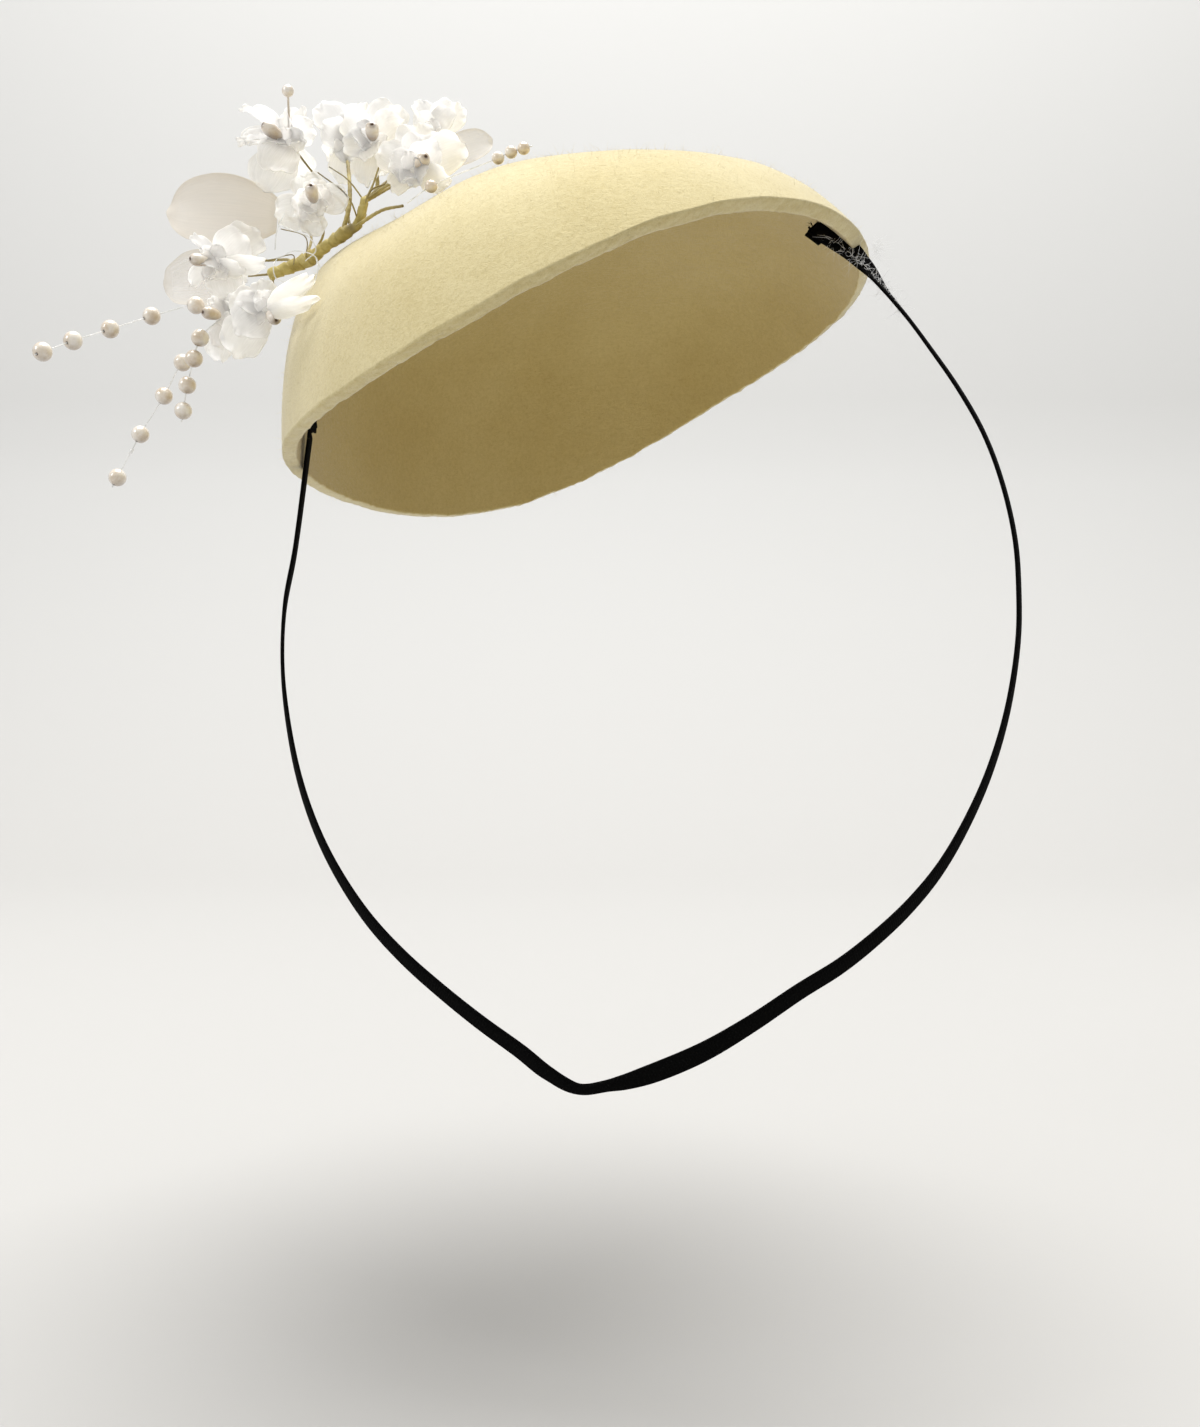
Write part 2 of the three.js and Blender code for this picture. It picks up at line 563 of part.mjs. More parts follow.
// Pearl strands: each thread starts beside the hub of a blossom, or at a wire's end, on the side
// that turn and lift give, and its pearls follow in order, placed as the spray's other pieces are
const STRANDS = [
  {
    name: "left", size: PEARL_DIAMETER, on: "blossom_low_left", turn: 116, lift: -25, pearls: [
      [-0.875, -0.414, -0.155], [-1.093, -0.302, -0.249], [-1.240, -0.052, -0.391],
      [-1.358, 0.173, -0.514], [-1.430, 0.398, -0.631],
    ],
  },
  {
    name: "low", size: PEARL_DIAMETER, on: "blossom_low_left", turn: 216, lift: -58, pearls: [
      [-0.978, -0.502, -0.461], [-1.085, -0.502, -0.654], [-1.205, -0.452, -0.886],
      [-1.303, -0.352, -1.151],
    ],
  },
  {
    name: "inner", size: PEARL_DIAMETER, on: "blossom_low_left", turn: 222, lift: 50, pearls: [
      [-0.830, -0.339, -0.361], [-0.868, -0.352, -0.476], [-0.913, -0.377, -0.621],
      [-0.940, -0.389, -0.764],
    ],
  },
  {
    name: "crown", size: SMALL_PEARL_DIAMETER, on: "wire_end", turn: 30, lift: 10, pearls: [
      [0.572, 0.428, 0.209], [0.915, 0.423, 0.356], [0.982, 0.428, 0.384],
      [1.047, 0.438, 0.399],
    ],
  },
];

// Pearl with a bore through it, its axis along +Y
function pearlGeometry(size) {
  const radius = size / 2;
  const bore = PEARL_BORE / 2;
  const mouth = Math.acos(bore / radius);
  const profile = [];
  for (let row = 0; row <= BEAD_ROWS; row++) {
    const angle = THREE.MathUtils.lerp(-mouth, mouth, row / BEAD_ROWS);
    profile.push(new THREE.Vector2(radius * Math.cos(angle), radius * Math.sin(angle)));
  }
  return new THREE.LatheGeometry([...profile, profile[0].clone()], BEAD_SIDES);
}

for (const strand of STRANDS) {
  const pearls = strand.pearls.map(sprayPoint);
  const hub = BLOSSOMS.find((blossom) => blossom.name === strand.on);
  const clear = (hub ? HUB_RADIUS : WIRE_RADIUS) + SEAT_GAP + THREAD_DIAMETER / 2;
  const start = sprayPoint(hub ? hub.at : WIRE_END)
    .addScaledVector(petalAxes(strand).along, clear);
  const tail = pearls.at(-1).clone().sub(pearls.at(-2)).setLength(strand.size / 2 + 2 * SEAT_GAP);
  const points = [start, ...pearls, pearls.at(-1).clone().add(tail)];
  const curve = smoothCurve(points);
  addPiece(`thread_${strand.name}`,
    taperedTube(curve, () => THREAD_DIAMETER / 2, 4, 3 * pearls.length), thread);
  pearls.forEach((centre, k) => {
    const along = curve.getTangent((k + 1) / (points.length - 1));
    const bead = pearlGeometry(strand.size);
    bead.applyQuaternion(new THREE.Quaternion().setFromUnitVectors(vec(0, 1, 0), along));
    addPiece(`pearl_${strand.name}_${k + 1}`, welded(bead.translate(...centre)), pearl);
  });
}

export default fascinator;
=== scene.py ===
import math

import bpy
import numpy as np
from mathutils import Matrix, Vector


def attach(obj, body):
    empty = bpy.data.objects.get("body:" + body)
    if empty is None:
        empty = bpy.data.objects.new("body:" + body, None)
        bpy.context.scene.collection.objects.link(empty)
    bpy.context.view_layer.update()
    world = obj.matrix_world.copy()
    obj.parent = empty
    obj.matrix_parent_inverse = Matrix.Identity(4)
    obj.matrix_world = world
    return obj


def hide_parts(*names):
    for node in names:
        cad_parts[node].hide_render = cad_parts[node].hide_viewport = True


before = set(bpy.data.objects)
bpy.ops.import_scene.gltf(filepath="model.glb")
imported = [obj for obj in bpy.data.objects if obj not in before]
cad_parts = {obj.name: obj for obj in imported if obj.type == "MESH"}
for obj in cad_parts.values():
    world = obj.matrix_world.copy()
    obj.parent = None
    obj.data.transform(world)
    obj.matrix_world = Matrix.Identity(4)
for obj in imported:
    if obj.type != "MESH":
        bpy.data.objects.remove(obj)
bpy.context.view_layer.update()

# Camera: level, and looking straight at the fascinator's near side, from where the photograph was
# taken.
MM = 0.001
EYE = np.array([-11.0, -325.0, -117.0]) * MM
FOCAL_PIXELS = 1400
FRAME_PIXELS_HIGH = 1427

lens = bpy.data.cameras.new("camera")
lens.sensor_fit = "VERTICAL"
lens.sensor_height = 36.0
lens.lens = lens.sensor_height * FOCAL_PIXELS / FRAME_PIXELS_HIGH
lens.clip_start = 0.01
camera = bpy.data.objects.new("camera", lens)
camera.location = EYE
camera.rotation_euler = (math.radians(90), 0, 0)
bpy.context.scene.collection.objects.link(camera)
bpy.context.scene.camera = camera

# Chin elastic: a flat black braid knitted over fine rubber cores. It runs down on both sides, draws
# together at its lowest point, and its ends go up inside the crown.
ELASTIC_WIDTH = 4.0 * MM
ELASTIC_THICKNESS = 0.75 * MM
ELASTIC_STEP = 0.7 * MM
ELASTIC_SIDES = 44
RIB_PITCH = 0.5 * MM
RIB_HEIGHT = 0.05 * MM
GATHER_POINT = np.array([-12.0, -59.0, -188.0]) * MM
GATHER_REACH = 6.5 * MM
GATHER_SHARE = 0.42
# How far along its face is turned to the near side: at its end, and just before its lowest point,
# where it is turned by this share, at this distance and over this length
END_TURN_REACH = 20 * MM
CHIN_TURN, CHIN_TURN_BEFORE, CHIN_TURN_REACH = 0.55, 15 * MM, 13 * MM
# Its near end stands this far off the rim, most at the first length and over the second
END_RISE = np.array([0.3, 0, 0.8]) * MM
END_RISE_AT, END_RISE_REACH = 11 * MM, 8 * MM
# The doubled length, how far its fold lies off the band, and its width at the fold and past it
DOUBLED_LENGTH = 17 * MM
FOLD_OFF = np.array([0.1, -0.80, 0.25]) * MM
FOLD_WIDTH, FOLD_NARROWING = 1.15, 0.45
# The elastic lies flat as if round a smooth egg shape: its widest level and its half sizes
HEAD_LEVEL = -91 * MM
HEAD_HALF = np.array([84, 86, 133]) * MM
ELASTIC_ROUTE = np.array([
    [36.68, -15.73, -10.01],
    [46.6, -23, -21.5], [50.5, -26, -27.5], [54.6, -28, -33.5], [58.2, -30, -39.5],
    [64.0, -32, -49.0], [69.0, -33, -58.5], [72.6, -34, -69.0], [75.0, -35, -81.0],
    [75.6, -35.5, -91.5], [75.3, -36, -102.0], [72.6, -38, -116.0], [67.8, -42, -128.5],
    [62.0, -46, -139.0], [55.8, -50, -147.5], [49.2, -54, -154.0], [42.0, -58, -159.5],
    [34.5, -61, -164.5], [26.4, -63, -169.0], [17.0, -64, -175.0], [7.7, -63.5, -180.5],
    [-3.5, -61, -185.7], [-9.5, -59.5, -187.6], [-15.2, -58, -188.6], [-20.9, -58.5, -185.5],
    [-26.2, -58.5, -181.3], [-33.9, -57.5, -176.0], [-41.9, -55, -170.3], [-49.4, -52, -164.5],
    [-56.4, -48.5, -158.0], [-62.8, -44, -150.4], [-68.0, -40, -142.3], [-72.7, -35, -132.5],
    [-76.3, -30, -121.5], [-79.2, -24, -108.0], [-80.4, -17, -94.0], [-79.8, -9, -80.0],
    [-79.02, 3.58, -51.58],
]) * MM


def unit(vectors):
    """Each vector over its own length."""
    return vectors / np.linalg.norm(vectors, axis=-1, keepdims=True)


def turns(count):
    """That many even turns round a circle."""
    return np.linspace(0, 2 * np.pi, count, endpoint=False)


def smooth_line(points, step):
    """Centripetal Catmull-Rom line through the points, in even steps along its length: each knot
    lies the root of the chord after the last, and each span is the Hermite cubic of its ends."""
    p = np.vstack([2 * points[0] - points[1], points, 2 * points[-1] - points[-2]])
    gap = np.sqrt(np.linalg.norm(np.diff(p, axis=0), axis=1))[:, None]
    before, start, end, after = p[:-3], p[1:-2], p[2:-1], p[3:]
    g0, g1, g2 = gap[:-2], gap[1:-1], gap[2:]
    leave = ((start - before) / g0 - (end - before) / (g0 + g1) + (end - start) / g1) * g1
    arrive = ((end - start) / g1 - (after - start) / (g1 + g2) + (after - end) / g2) * g1
    u = np.linspace(0, 1, 24, endpoint=False)[None, :, None]
    line = (start[:, None] * (2 * u**3 - 3 * u**2 + 1) + leave[:, None] * (u**3 - 2 * u**2 + u)
            + end[:, None] * (3 * u**2 - 2 * u**3) + arrive[:, None] * (u**3 - u**2))
    line = np.vstack([line.reshape(-1, 3), points[-1]])
    length = np.concatenate([[0], np.cumsum(np.linalg.norm(np.diff(line, axis=0), axis=1))])
    even = np.linspace(0, length[-1], max(int(length[-1] / step), 4) + 1)
    return np.stack([np.interp(even, length, line[:, k]) for k in range(3)], -1), even


def skin(rings, uv=None, tone=0.5, joined=False):
    """Closed skin over n rings of m points: quads between neighbours and a fan over each end, or
    where the rings are joined, quads from the last ring to the first. Faces are turned outwards by
    the sign of the volume they enclose."""
    n, m = rings.shape[:2]
    ends = 0 if joined else 2
    points = np.vstack([rings.reshape(-1, 3), rings[0].mean(0), rings[-1].mean(0)][:1 + ends])
    at = np.arange(n * m).reshape(n, m)
    loops = np.vstack([at, at[:1]]) if joined else at
    beside = np.roll(loops, -1, axis=1)
    quads = np.stack([loops[:-1], beside[:-1], beside[1:], loops[1:]], -1).reshape(-1, 4)
    fans = np.vstack([np.stack([beside[0], at[0], np.full(m, n * m)], -1),
                      np.stack([at[-1], beside[-1], np.full(m, n * m + 1)], -1)])
    fans = fans[:ends * m]
    corners = np.vstack([quads[:, [0, 1, 2]], quads[:, [0, 2, 3]], fans])
    a, b, c = (points[corners[:, k]] - points.mean(0) for k in range(3))
    if np.einsum("ij,ij->", a, np.cross(b, c)) < 0:
        quads, fans = quads[:, ::-1], fans[:, ::-1]
    if uv is None:
        uv = np.zeros((n, m, 2))
    uv = np.vstack([uv.reshape(-1, 2), uv[0].mean(0), uv[-1].mean(0)][:1 + ends])
    tones = np.broadcast_to(tone, (n, m)).reshape(-1)
    tones = np.concatenate([tones, [tones[0], tones[-1]][:ends]])
    return {"points": points, "quads": quads, "fans": fans, "uv": uv, "tone": tones}


def make_piece(name, parts, material, replaced=()):
    """One object from several skins or sheets, with their uv and tone kept, riding on the body."""
    starts = np.cumsum([0] + [len(part["points"]) for part in parts[:-1]])
    quads = np.vstack([part["quads"] + start for part, start in zip(parts, starts)])
    fans = np.vstack([part["fans"] + start for part, start in zip(parts, starts)])
    mesh = bpy.data.meshes.new(name)
    mesh.from_pydata(np.vstack([part["points"] for part in parts]), [],
                     quads.tolist() + fans.tolist())
    corner = np.empty(len(mesh.loops), np.int32)
    mesh.loops.foreach_get("vertex_index", corner)
    uv = np.vstack([part["uv"] for part in parts])
    mesh.uv_layers.new(name="UVMap").data.foreach_set("uv", uv[corner].ravel())
    tone = mesh.attributes.new("tone", "FLOAT", "POINT")
    tone.data.foreach_set("value", np.concatenate([part["tone"] for part in parts]))
    mesh.shade_smooth()
    mesh.materials.append(material)
    piece = bpy.data.objects.new(name, mesh)
    bpy.context.scene.collection.objects.link(piece)
    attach(piece, "root")
    if replaced:
        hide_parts(*replaced)
    return piece


def new_material(name, colour, **sockets):
    """A node material with one Principled shader: its nodes, its links and the shader."""
    material = bpy.data.materials.new(name)
    material.use_nodes = True
    tree = material.node_tree
    shader = tree.nodes["Principled BSDF"]
    shader.inputs["Base Color"].default_value = (*colour, 1)
    for socket, value in sockets.items():
        shader.inputs[socket.replace("_", " ")].default_value = value
    return material, tree, shader


def node(tree, kind, settings=None, **inputs):
    """A shader node whose inputs are given as values or as the sockets they are linked from."""
    made = tree.nodes.new(kind)
    for key, value in (settings or {}).items():
        setattr(made, key, value)
    for key, value in inputs.items():
        socket = made.inputs[int(key[1:])] if key[0] == "i" and key[1:].isdigit() else \
            made.inputs[key.replace("_", " ")]
        if isinstance(value, bpy.types.NodeSocket):
            tree.links.new(value, socket)
        else:
            socket.default_value = value
    return made


def maths(tree, operation, *values, clamp=False):
    """The result of a maths node over values or sockets."""
    made = node(tree, "ShaderNodeMath", {"operation": operation, "use_clamp": clamp},
                **{f"i{k}": value for k, value in enumerate(values)})
    return made.outputs[0]


def ramp(tree, factor, stops):
    """A colour ramp over the factor; each stop is a place and a colour."""
    made = node(tree, "ShaderNodeValToRGB", Fac=factor)
    steps = made.color_ramp.elements
    while len(steps) < len(stops):
        steps.new(0.5)
    for step, (place, colour) in zip(steps, stops):
        step.position = place
        step.color = (*colour, 1)
    return made.outputs["Color"]


def colour_by(tree, shader, colour):
    """Base colour of the shader from a socket."""
    tree.links.new(colour, shader.inputs["Base Color"])


def raise_by(tree, shader, height, strength, distance):
    """Bump of the shader's normal by a height."""
    bump = node(tree, "ShaderNodeBump", Height=height, Strength=strength, Distance=distance)
    tree.links.new(bump.outputs["Normal"], shader.inputs["Normal"])


def tone_of(tree):
    """The tone that each point of a piece is given."""
    return node(tree, "ShaderNodeAttribute", {"attribute_name": "tone"}).outputs["Fac"]


def blend(tree, kind, factor, low, high):
    """Two colours, given as sockets or values, mixed or multiplied by the factor."""
    return node(tree, "ShaderNodeMix", {"data_type": "RGBA", "blend_type": kind},
                i0=factor, i6=low, i7=high).outputs[2]


braid, tree, shader = new_material("braided_elastic", (0.003, 0.003, 0.003), Roughness=0.92,
                                   Specular_IOR_Level=0.05)
uv = node(tree, "ShaderNodeUVMap").outputs["UV"]
across = node(tree, "ShaderNodeMapping", Vector=uv, Scale=(1, 0.35, 1)).outputs["Vector"]
ribs = node(tree, "ShaderNodeTexWave", {"wave_type": "BANDS", "bands_direction": "X"},
            Vector=across, Scale=0.55, Distortion=1.2, Detail=1.0, Detail_Scale=2.0)
flecks = node(tree, "ShaderNodeTexNoise", Vector=uv, Scale=3.0, Detail=3.0)
colour_by(tree, shader, ramp(tree, flecks.outputs["Fac"], [
    (0.35, (0.001, 0.001, 0.001)), (0.62, (0.003, 0.003, 0.003)), (0.80, (0.012, 0.012, 0.012))]))
knit = maths(tree, "MULTIPLY_ADD", flecks.outputs["Fac"], 0.5, ribs.outputs["Fac"])
raise_by(tree, shader, knit, 0.5, 0.12 * MM)


def band_rings(line, along, width, thickness, sides=ELASTIC_SIDES, toward=0.0):
    """Rings of a flat band that lies round the egg shape: each ring is a superellipse, width across
    the band by thickness outwards, with a fine cosine rib across its faces. toward turns its face
    from the way out of the egg shape, at 0, to the near side, at 1."""
    tangent = unit(np.gradient(line, axis=0))
    away = unit((line - [0, 0, HEAD_LEVEL]) / HEAD_HALF**2)
    away = away + np.reshape(toward, (-1, 1)) * ([0, -1, 0] - away)
    away = unit(away - tangent * np.sum(away * tangent, -1, keepdims=True))
    side = np.cross(away, tangent)
    turn = turns(sides)
    across = np.sign(np.cos(turn)) * np.abs(np.cos(turn)) ** 0.6
    out = np.sign(np.sin(turn)) * np.abs(np.sin(turn)) ** 0.45
    reach = np.broadcast_to(width, along.shape)[:, None] / 2 * across
    rib = RIB_HEIGHT * np.cos(2 * np.pi * reach / RIB_PITCH) * out
    rise = np.broadcast_to(thickness, along.shape)[:, None] / 2 * out + rib
    rings = line[:, None] + side[:, None] * reach[..., None] + away[:, None] * rise[..., None]
    uv = np.stack(np.broadcast_arrays(along[:, None] / MM, reach / MM), -1)
    return rings, uv


elastic_line, elastic_along = smooth_line(ELASTIC_ROUTE, ELASTIC_STEP)
off_gather = np.linalg.norm(elastic_line - GATHER_POINT, axis=1)
gather = np.exp(-(off_gather / GATHER_REACH) ** 2)
before_gather = elastic_along[np.argmin(off_gather)] - elastic_along
facing = np.exp(-((elastic_along / END_TURN_REACH) ** 4)) + CHIN_TURN * np.exp(
    -(((before_gather - CHIN_TURN_BEFORE) / CHIN_TURN_REACH) ** 2))
end_rise = np.exp(-(((elastic_along - END_RISE_AT) / END_RISE_REACH) ** 2))[:, None]
worn_line = elastic_line + end_rise * END_RISE
elastic_width = ELASTIC_WIDTH * (1 - GATHER_SHARE * gather)
worn_rings, uv = band_rings(worn_line, elastic_along, elastic_width,
                            ELASTIC_THICKNESS * (1 + GATHER_SHARE * gather), toward=facing)
# The end of the band is folded back over itself on the near side, and cut off square
doubled = elastic_along < DOUBLED_LENGTH
fold = elastic_along[doubled] / DOUBLED_LENGTH
fold_line = worn_line[doubled] + FOLD_OFF * (1 - fold**3)[:, None]
fold_width = FOLD_WIDTH - FOLD_NARROWING * fold**3
fold_rings, fold_uv = band_rings(
    fold_line, elastic_along[doubled], ELASTIC_WIDTH * fold_width * np.minimum(0.8 + fold * 6, 1),
    ELASTIC_THICKNESS, toward=facing[doubled])
elastic = make_piece("braided_chin_elastic", [skin(worn_rings, uv),
                                              skin(fold_rings, fold_uv + [3, 0])],
                     braid, ["chin_elastic"])

# Felt cap: one hood of ivory wool felt, steamed over a block into a flat crown with a soft rounded
# shoulder. Its edge is cut and left raw, so it shows the felt's thickness. The felt is two pressed
# layers, drawn here as one.
CAP_LENGTH = 142 * MM
CAP_WIDTH = 155 * MM
CAP_CENTRE = np.array([-15.4, 4.7, -39.5]) * MM
CAP_DIP_LEFT = math.radians(21.8)
CAP_DIP_FAR = math.radians(5.2)
CAP_TURN = math.radians(-2.4)
CROWN_HEIGHT = 27.6 * MM
CROWN_RAKE_LEFT = 11.0 * MM
CROWN_RAKE_NEAR = 3.3 * MM
CROWN_DOME = 7.0 * MM
CROWN_PEAK = 9.8 * MM
SHOULDER_SHARPNESS = 8.7
SHOULDER_SHARPER_RIGHT = 2.7
RIM_SADDLE = 1.7 * MM
RIM_TREFOIL = -2.45 * MM
FELT_THICKNESS = 3.2 * MM
# Soft dents of the hand-blocked crown: turn round the rim, share of the way out, and the share of
# the crown's height that the felt rises or sinks there
DENTS = [(205, 0.80, 0.120), (235, 0.72, -0.093), (265, 0.74, 0.030), (292, 0.74, -0.044),
         (320, 0.78, -0.066), (345, 0.80, 0.064)]
DENT_SPREAD_ROUND = math.radians(24)
DENT_SPREAD_OUT = 0.24
CAP_SIDES = 420
EDGE_ROWS = 13
EDGE_SPILL = 0.30 * MM
# Ripples that make the felt uneven: pitch, height and seed
EDGE_RIPPLES = [(9 * MM, 0.22 * MM, 4), (2.6 * MM, 0.10 * MM, 6)]
FACE_RIPPLES = [(17 * MM, 0.16 * MM, 1), (6 * MM, 0.05 * MM, 2)]
CUT_RIPPLE = [(1.9 * MM, 0.16 * MM, 8)]
# Tone of the felt, and how much darker its cut and its inside are painted: painted shade, as if in
# shadow under the rim and inside the crown
FELT_TONE, CUT_PAINTED_SHADE, INSIDE_PAINTED_SHADE = 0.5, 0.08, 0.26
CAP_UP = unit(np.array([-math.sin(CAP_DIP_LEFT), math.sin(CAP_DIP_FAR), 1.0]))
CAP_RIGHT = np.array([math.cos(CAP_TURN), math.sin(CAP_TURN), 0])
CAP_RIGHT = unit(CAP_RIGHT - CAP_UP * CAP_RIGHT.dot(CAP_UP))
CAP_FAR = np.cross(CAP_UP, CAP_RIGHT)


def cap_point(out, turn):
    """Outer face of the cap: an ellipse in the tilted rim plane, scaled by out, and raised by a
    steep power of out for the shoulder, two domes, a waved rim and the dents as Gaussian bumps."""
    out, turn = np.broadcast_arrays(np.asarray(out, float), np.asarray(turn, float))
    c, s = np.cos(turn), np.sin(turn)
    dome = 1 - out**2
    height = (CROWN_HEIGHT - CROWN_RAKE_LEFT * c * out + CROWN_RAKE_NEAR * s * out) * (
        1 - out ** (SHOULDER_SHARPNESS + SHOULDER_SHARPER_RIGHT * c))
    height = height + CROWN_DOME * dome + CROWN_PEAK * dome**2
    height = height + (RIM_SADDLE * np.cos(2 * turn) + RIM_TREFOIL * np.cos(3 * turn)) * out**4
    for dent_turn, dent_out, rise in DENTS:
        round_off = np.angle(np.exp(1j * (turn - math.radians(dent_turn))))
        reach = (round_off / DENT_SPREAD_ROUND) ** 2 + ((out - dent_out) / DENT_SPREAD_OUT) ** 2
        height = height + CROWN_HEIGHT * rise * np.exp(-reach) * (1 - out**6)
    return (CAP_CENTRE + CAP_RIGHT * (out * CAP_LENGTH / 2 * c)[..., None]
            + CAP_FAR * (out * CAP_WIDTH / 2 * s)[..., None] + CAP_UP * height[..., None])


def over_cap(out, turn, lift, spill=0.0):
    """A point this far above the cap's outer face, and moved down the face by spill."""
    step = 1e-3
    at = np.clip(out, 2 * step, 1 - step)
    down = unit(cap_point(at + step, turn) - cap_point(at - step, turn))
    round_way = cap_point(at, turn + step) - cap_point(at, turn - step)
    up = unit(np.cross(down, round_way))
    lift, spill = np.broadcast_to(lift, up.shape[:-1]), np.broadcast_to(spill, up.shape[:-1])
    return cap_point(out, turn) + up * lift[..., None] + down * spill[..., None]


def ripple(points, pitch, seed):
    """Smooth unevenness from -1 to 1: the mean of nine plane sine waves of about that pitch."""
    wild = np.random.default_rng(seed)
    ways = unit(wild.normal(size=(9, 3))) / pitch * wild.uniform(0.7, 1.5, (9, 1))
    phase = wild.uniform(0, 2 * np.pi, 9)
    return np.sin(2 * np.pi * points @ ways.T + phase).mean(-1) * 1.6


def ripples(points, kinds):
    """The sum of ripples, each of its own pitch, height and seed."""
    return sum(ripple(points, pitch, seed) * height for pitch, height, seed in kinds)


wool, tree, shader = new_material("wool_felt", (0.70, 0.61, 0.34), Roughness=0.95, IOR=1.3,
                                  Sheen_Weight=0.65, Sheen_Roughness=0.4)
shader.inputs["Sheen Tint"].default_value = (1.0, 0.98, 0.93, 1)


def new_effect(name, inputs, outputs):
    """A node group that several materials share, with its float inputs and outputs."""
    group = bpy.data.node_groups.new(name, "ShaderNodeTree")
    for way, sockets in (("INPUT", inputs), ("OUTPUT", outputs)):
        for socket in sockets:
            group.interface.new_socket(socket, in_out=way, socket_type="NodeSocketFloat")
    return group, group.nodes.new("NodeGroupInput"), group.nodes.new("NodeGroupOutput")


def fibre_group():
    """Matted fibre: slow clouds of shade, and a height that is the higher of two sets of thin
    wisps, drawn out along crossed ways, with fine lumps added."""
    group, given, result = new_effect("matted_fibre", ("Cloud Size", "Wisp Size"),
                                      ("Cloud", "Height"))
    place = node(group, "ShaderNodeTexCoord").outputs["Object"]
    cloud = node(group, "ShaderNodeTexNoise", Vector=place, Scale=given.outputs["Cloud Size"],
                 Detail=5.0, Roughness=0.62)
    wisps = []
    for drawn_out in ((1.0, 0.24, 0.7), (0.24, 1.0, 0.7)):
        drawn = node(group, "ShaderNodeMapping", Vector=place, Rotation=(0.4, 0.2, 0.6),
                     Scale=drawn_out)
        wisps.append(node(group, "ShaderNodeTexNoise", Vector=drawn.outputs["Vector"],
                          Scale=given.outputs["Wisp Size"], Detail=3.0, Roughness=0.6,
                          Distortion=1.3).outputs["Fac"])
    lumps = node(group, "ShaderNodeTexNoise", Vector=place, Scale=1100.0, Detail=3.0)
    height = maths(group, "MULTIPLY_ADD", lumps.outputs["Fac"], 0.35,
                   maths(group, "MAXIMUM", *wisps))
    group.links.new(cloud.outputs["Fac"], result.inputs["Cloud"])
    group.links.new(height, result.inputs["Height"])
    return group


MATTED_FIBRE = fibre_group()


def matted(tree, cloud_size, wisp_size):
    """The matted fibre effect placed in a material with its own sizes."""
    made = tree.nodes.new("ShaderNodeGroup")
    made.node_tree = MATTED_FIBRE
    made.inputs["Cloud Size"].default_value = cloud_size
    made.inputs["Wisp Size"].default_value = wisp_size
    return made


fibre = matted(tree, 28.0, 2300.0)
cloudy = ramp(tree, fibre.outputs["Cloud"], [
    (0.32, (0.66, 0.565, 0.30)), (0.52, (0.70, 0.61, 0.345)), (0.72, (0.74, 0.655, 0.39))])
strands = blend(tree, "MULTIPLY", 1.0, cloudy, ramp(tree, fibre.outputs["Height"], [
    (0.58, (0.88, 0.86, 0.80)), (0.80, (1, 1, 1))]))
# Low tones darken the felt: painted shade on the cut and the inside, and the grain of the cut
shade_and_cut_grain = blend(tree, "MULTIPLY", 1.0, strands, ramp(tree, tone_of(tree), [
    (0.0, (0.66, 0.54, 0.25)), (0.5, (1, 1, 1))]))
colour_by(tree, shader, shade_and_cut_grain)
raise_by(tree, shader, fibre.outputs["Height"], 0.7, 0.25 * MM)

# Profile of the felt from the middle of the crown, over the rim and back inside: share of the way
# out, depth below the outer face as a share of the felt, and how far it stands past the cut
outer = 1 - np.linspace(1, 0, 70)[:-1] ** 1.5
outer = outer[outer > 0]
edge = np.linspace(0, 1, EDGE_ROWS)
edge_spill = EDGE_SPILL * (1 - (2 * edge - 1) ** 4)
inner = outer[::-1][::2]
profile_out = np.concatenate([outer, np.ones(EDGE_ROWS), inner])[:, None]
profile_depth = np.concatenate([0 * outer, edge, 0 * inner + 1])[:, None]
profile_spill = np.concatenate([0 * outer, edge_spill, 0 * inner])[:, None]
round_turn = turns(CAP_SIDES)[None, :]
rough_edge = ripples(cap_point(1.0, round_turn), EDGE_RIPPLES)
felt_rings = over_cap(profile_out, round_turn, -FELT_THICKNESS * profile_depth,
                      profile_spill + rough_edge * (profile_out == 1))
felt_rings = felt_rings + CAP_UP * ripples(felt_rings, FACE_RIPPLES)[..., None]
cut = (profile_out == 1) & (profile_depth > 0)
felt_rings = felt_rings + CAP_UP * (ripples(felt_rings, CUT_RIPPLE) * cut)[..., None]
# The cut and the inside are made darker as painted shade; the ripple on the cut is its grain
felt_tone = (FELT_TONE - CUT_PAINTED_SHADE * (profile_depth > 0) - INSIDE_PAINTED_SHADE * (profile_depth >= 1)
             + 0.10 * ripple(felt_rings, 2.2 * MM, 9) * cut)
make_piece("felt_hood", [skin(felt_rings, tone=felt_tone)], wool, ["felt_cap"])

# Fuzz of the felt: loose wool ends that stand off its face, short, curved and thinning to a point.
FUZZ_COUNT = 5200
FUZZ_LENGTH = 1.5 * MM
FUZZ_RADIUS = 0.022 * MM
EDGE_FUZZ_SHARE = 0.22


def loose(wild, count):
    """That many random vectors, of no one direction."""
    return wild.normal(size=(count, 3))


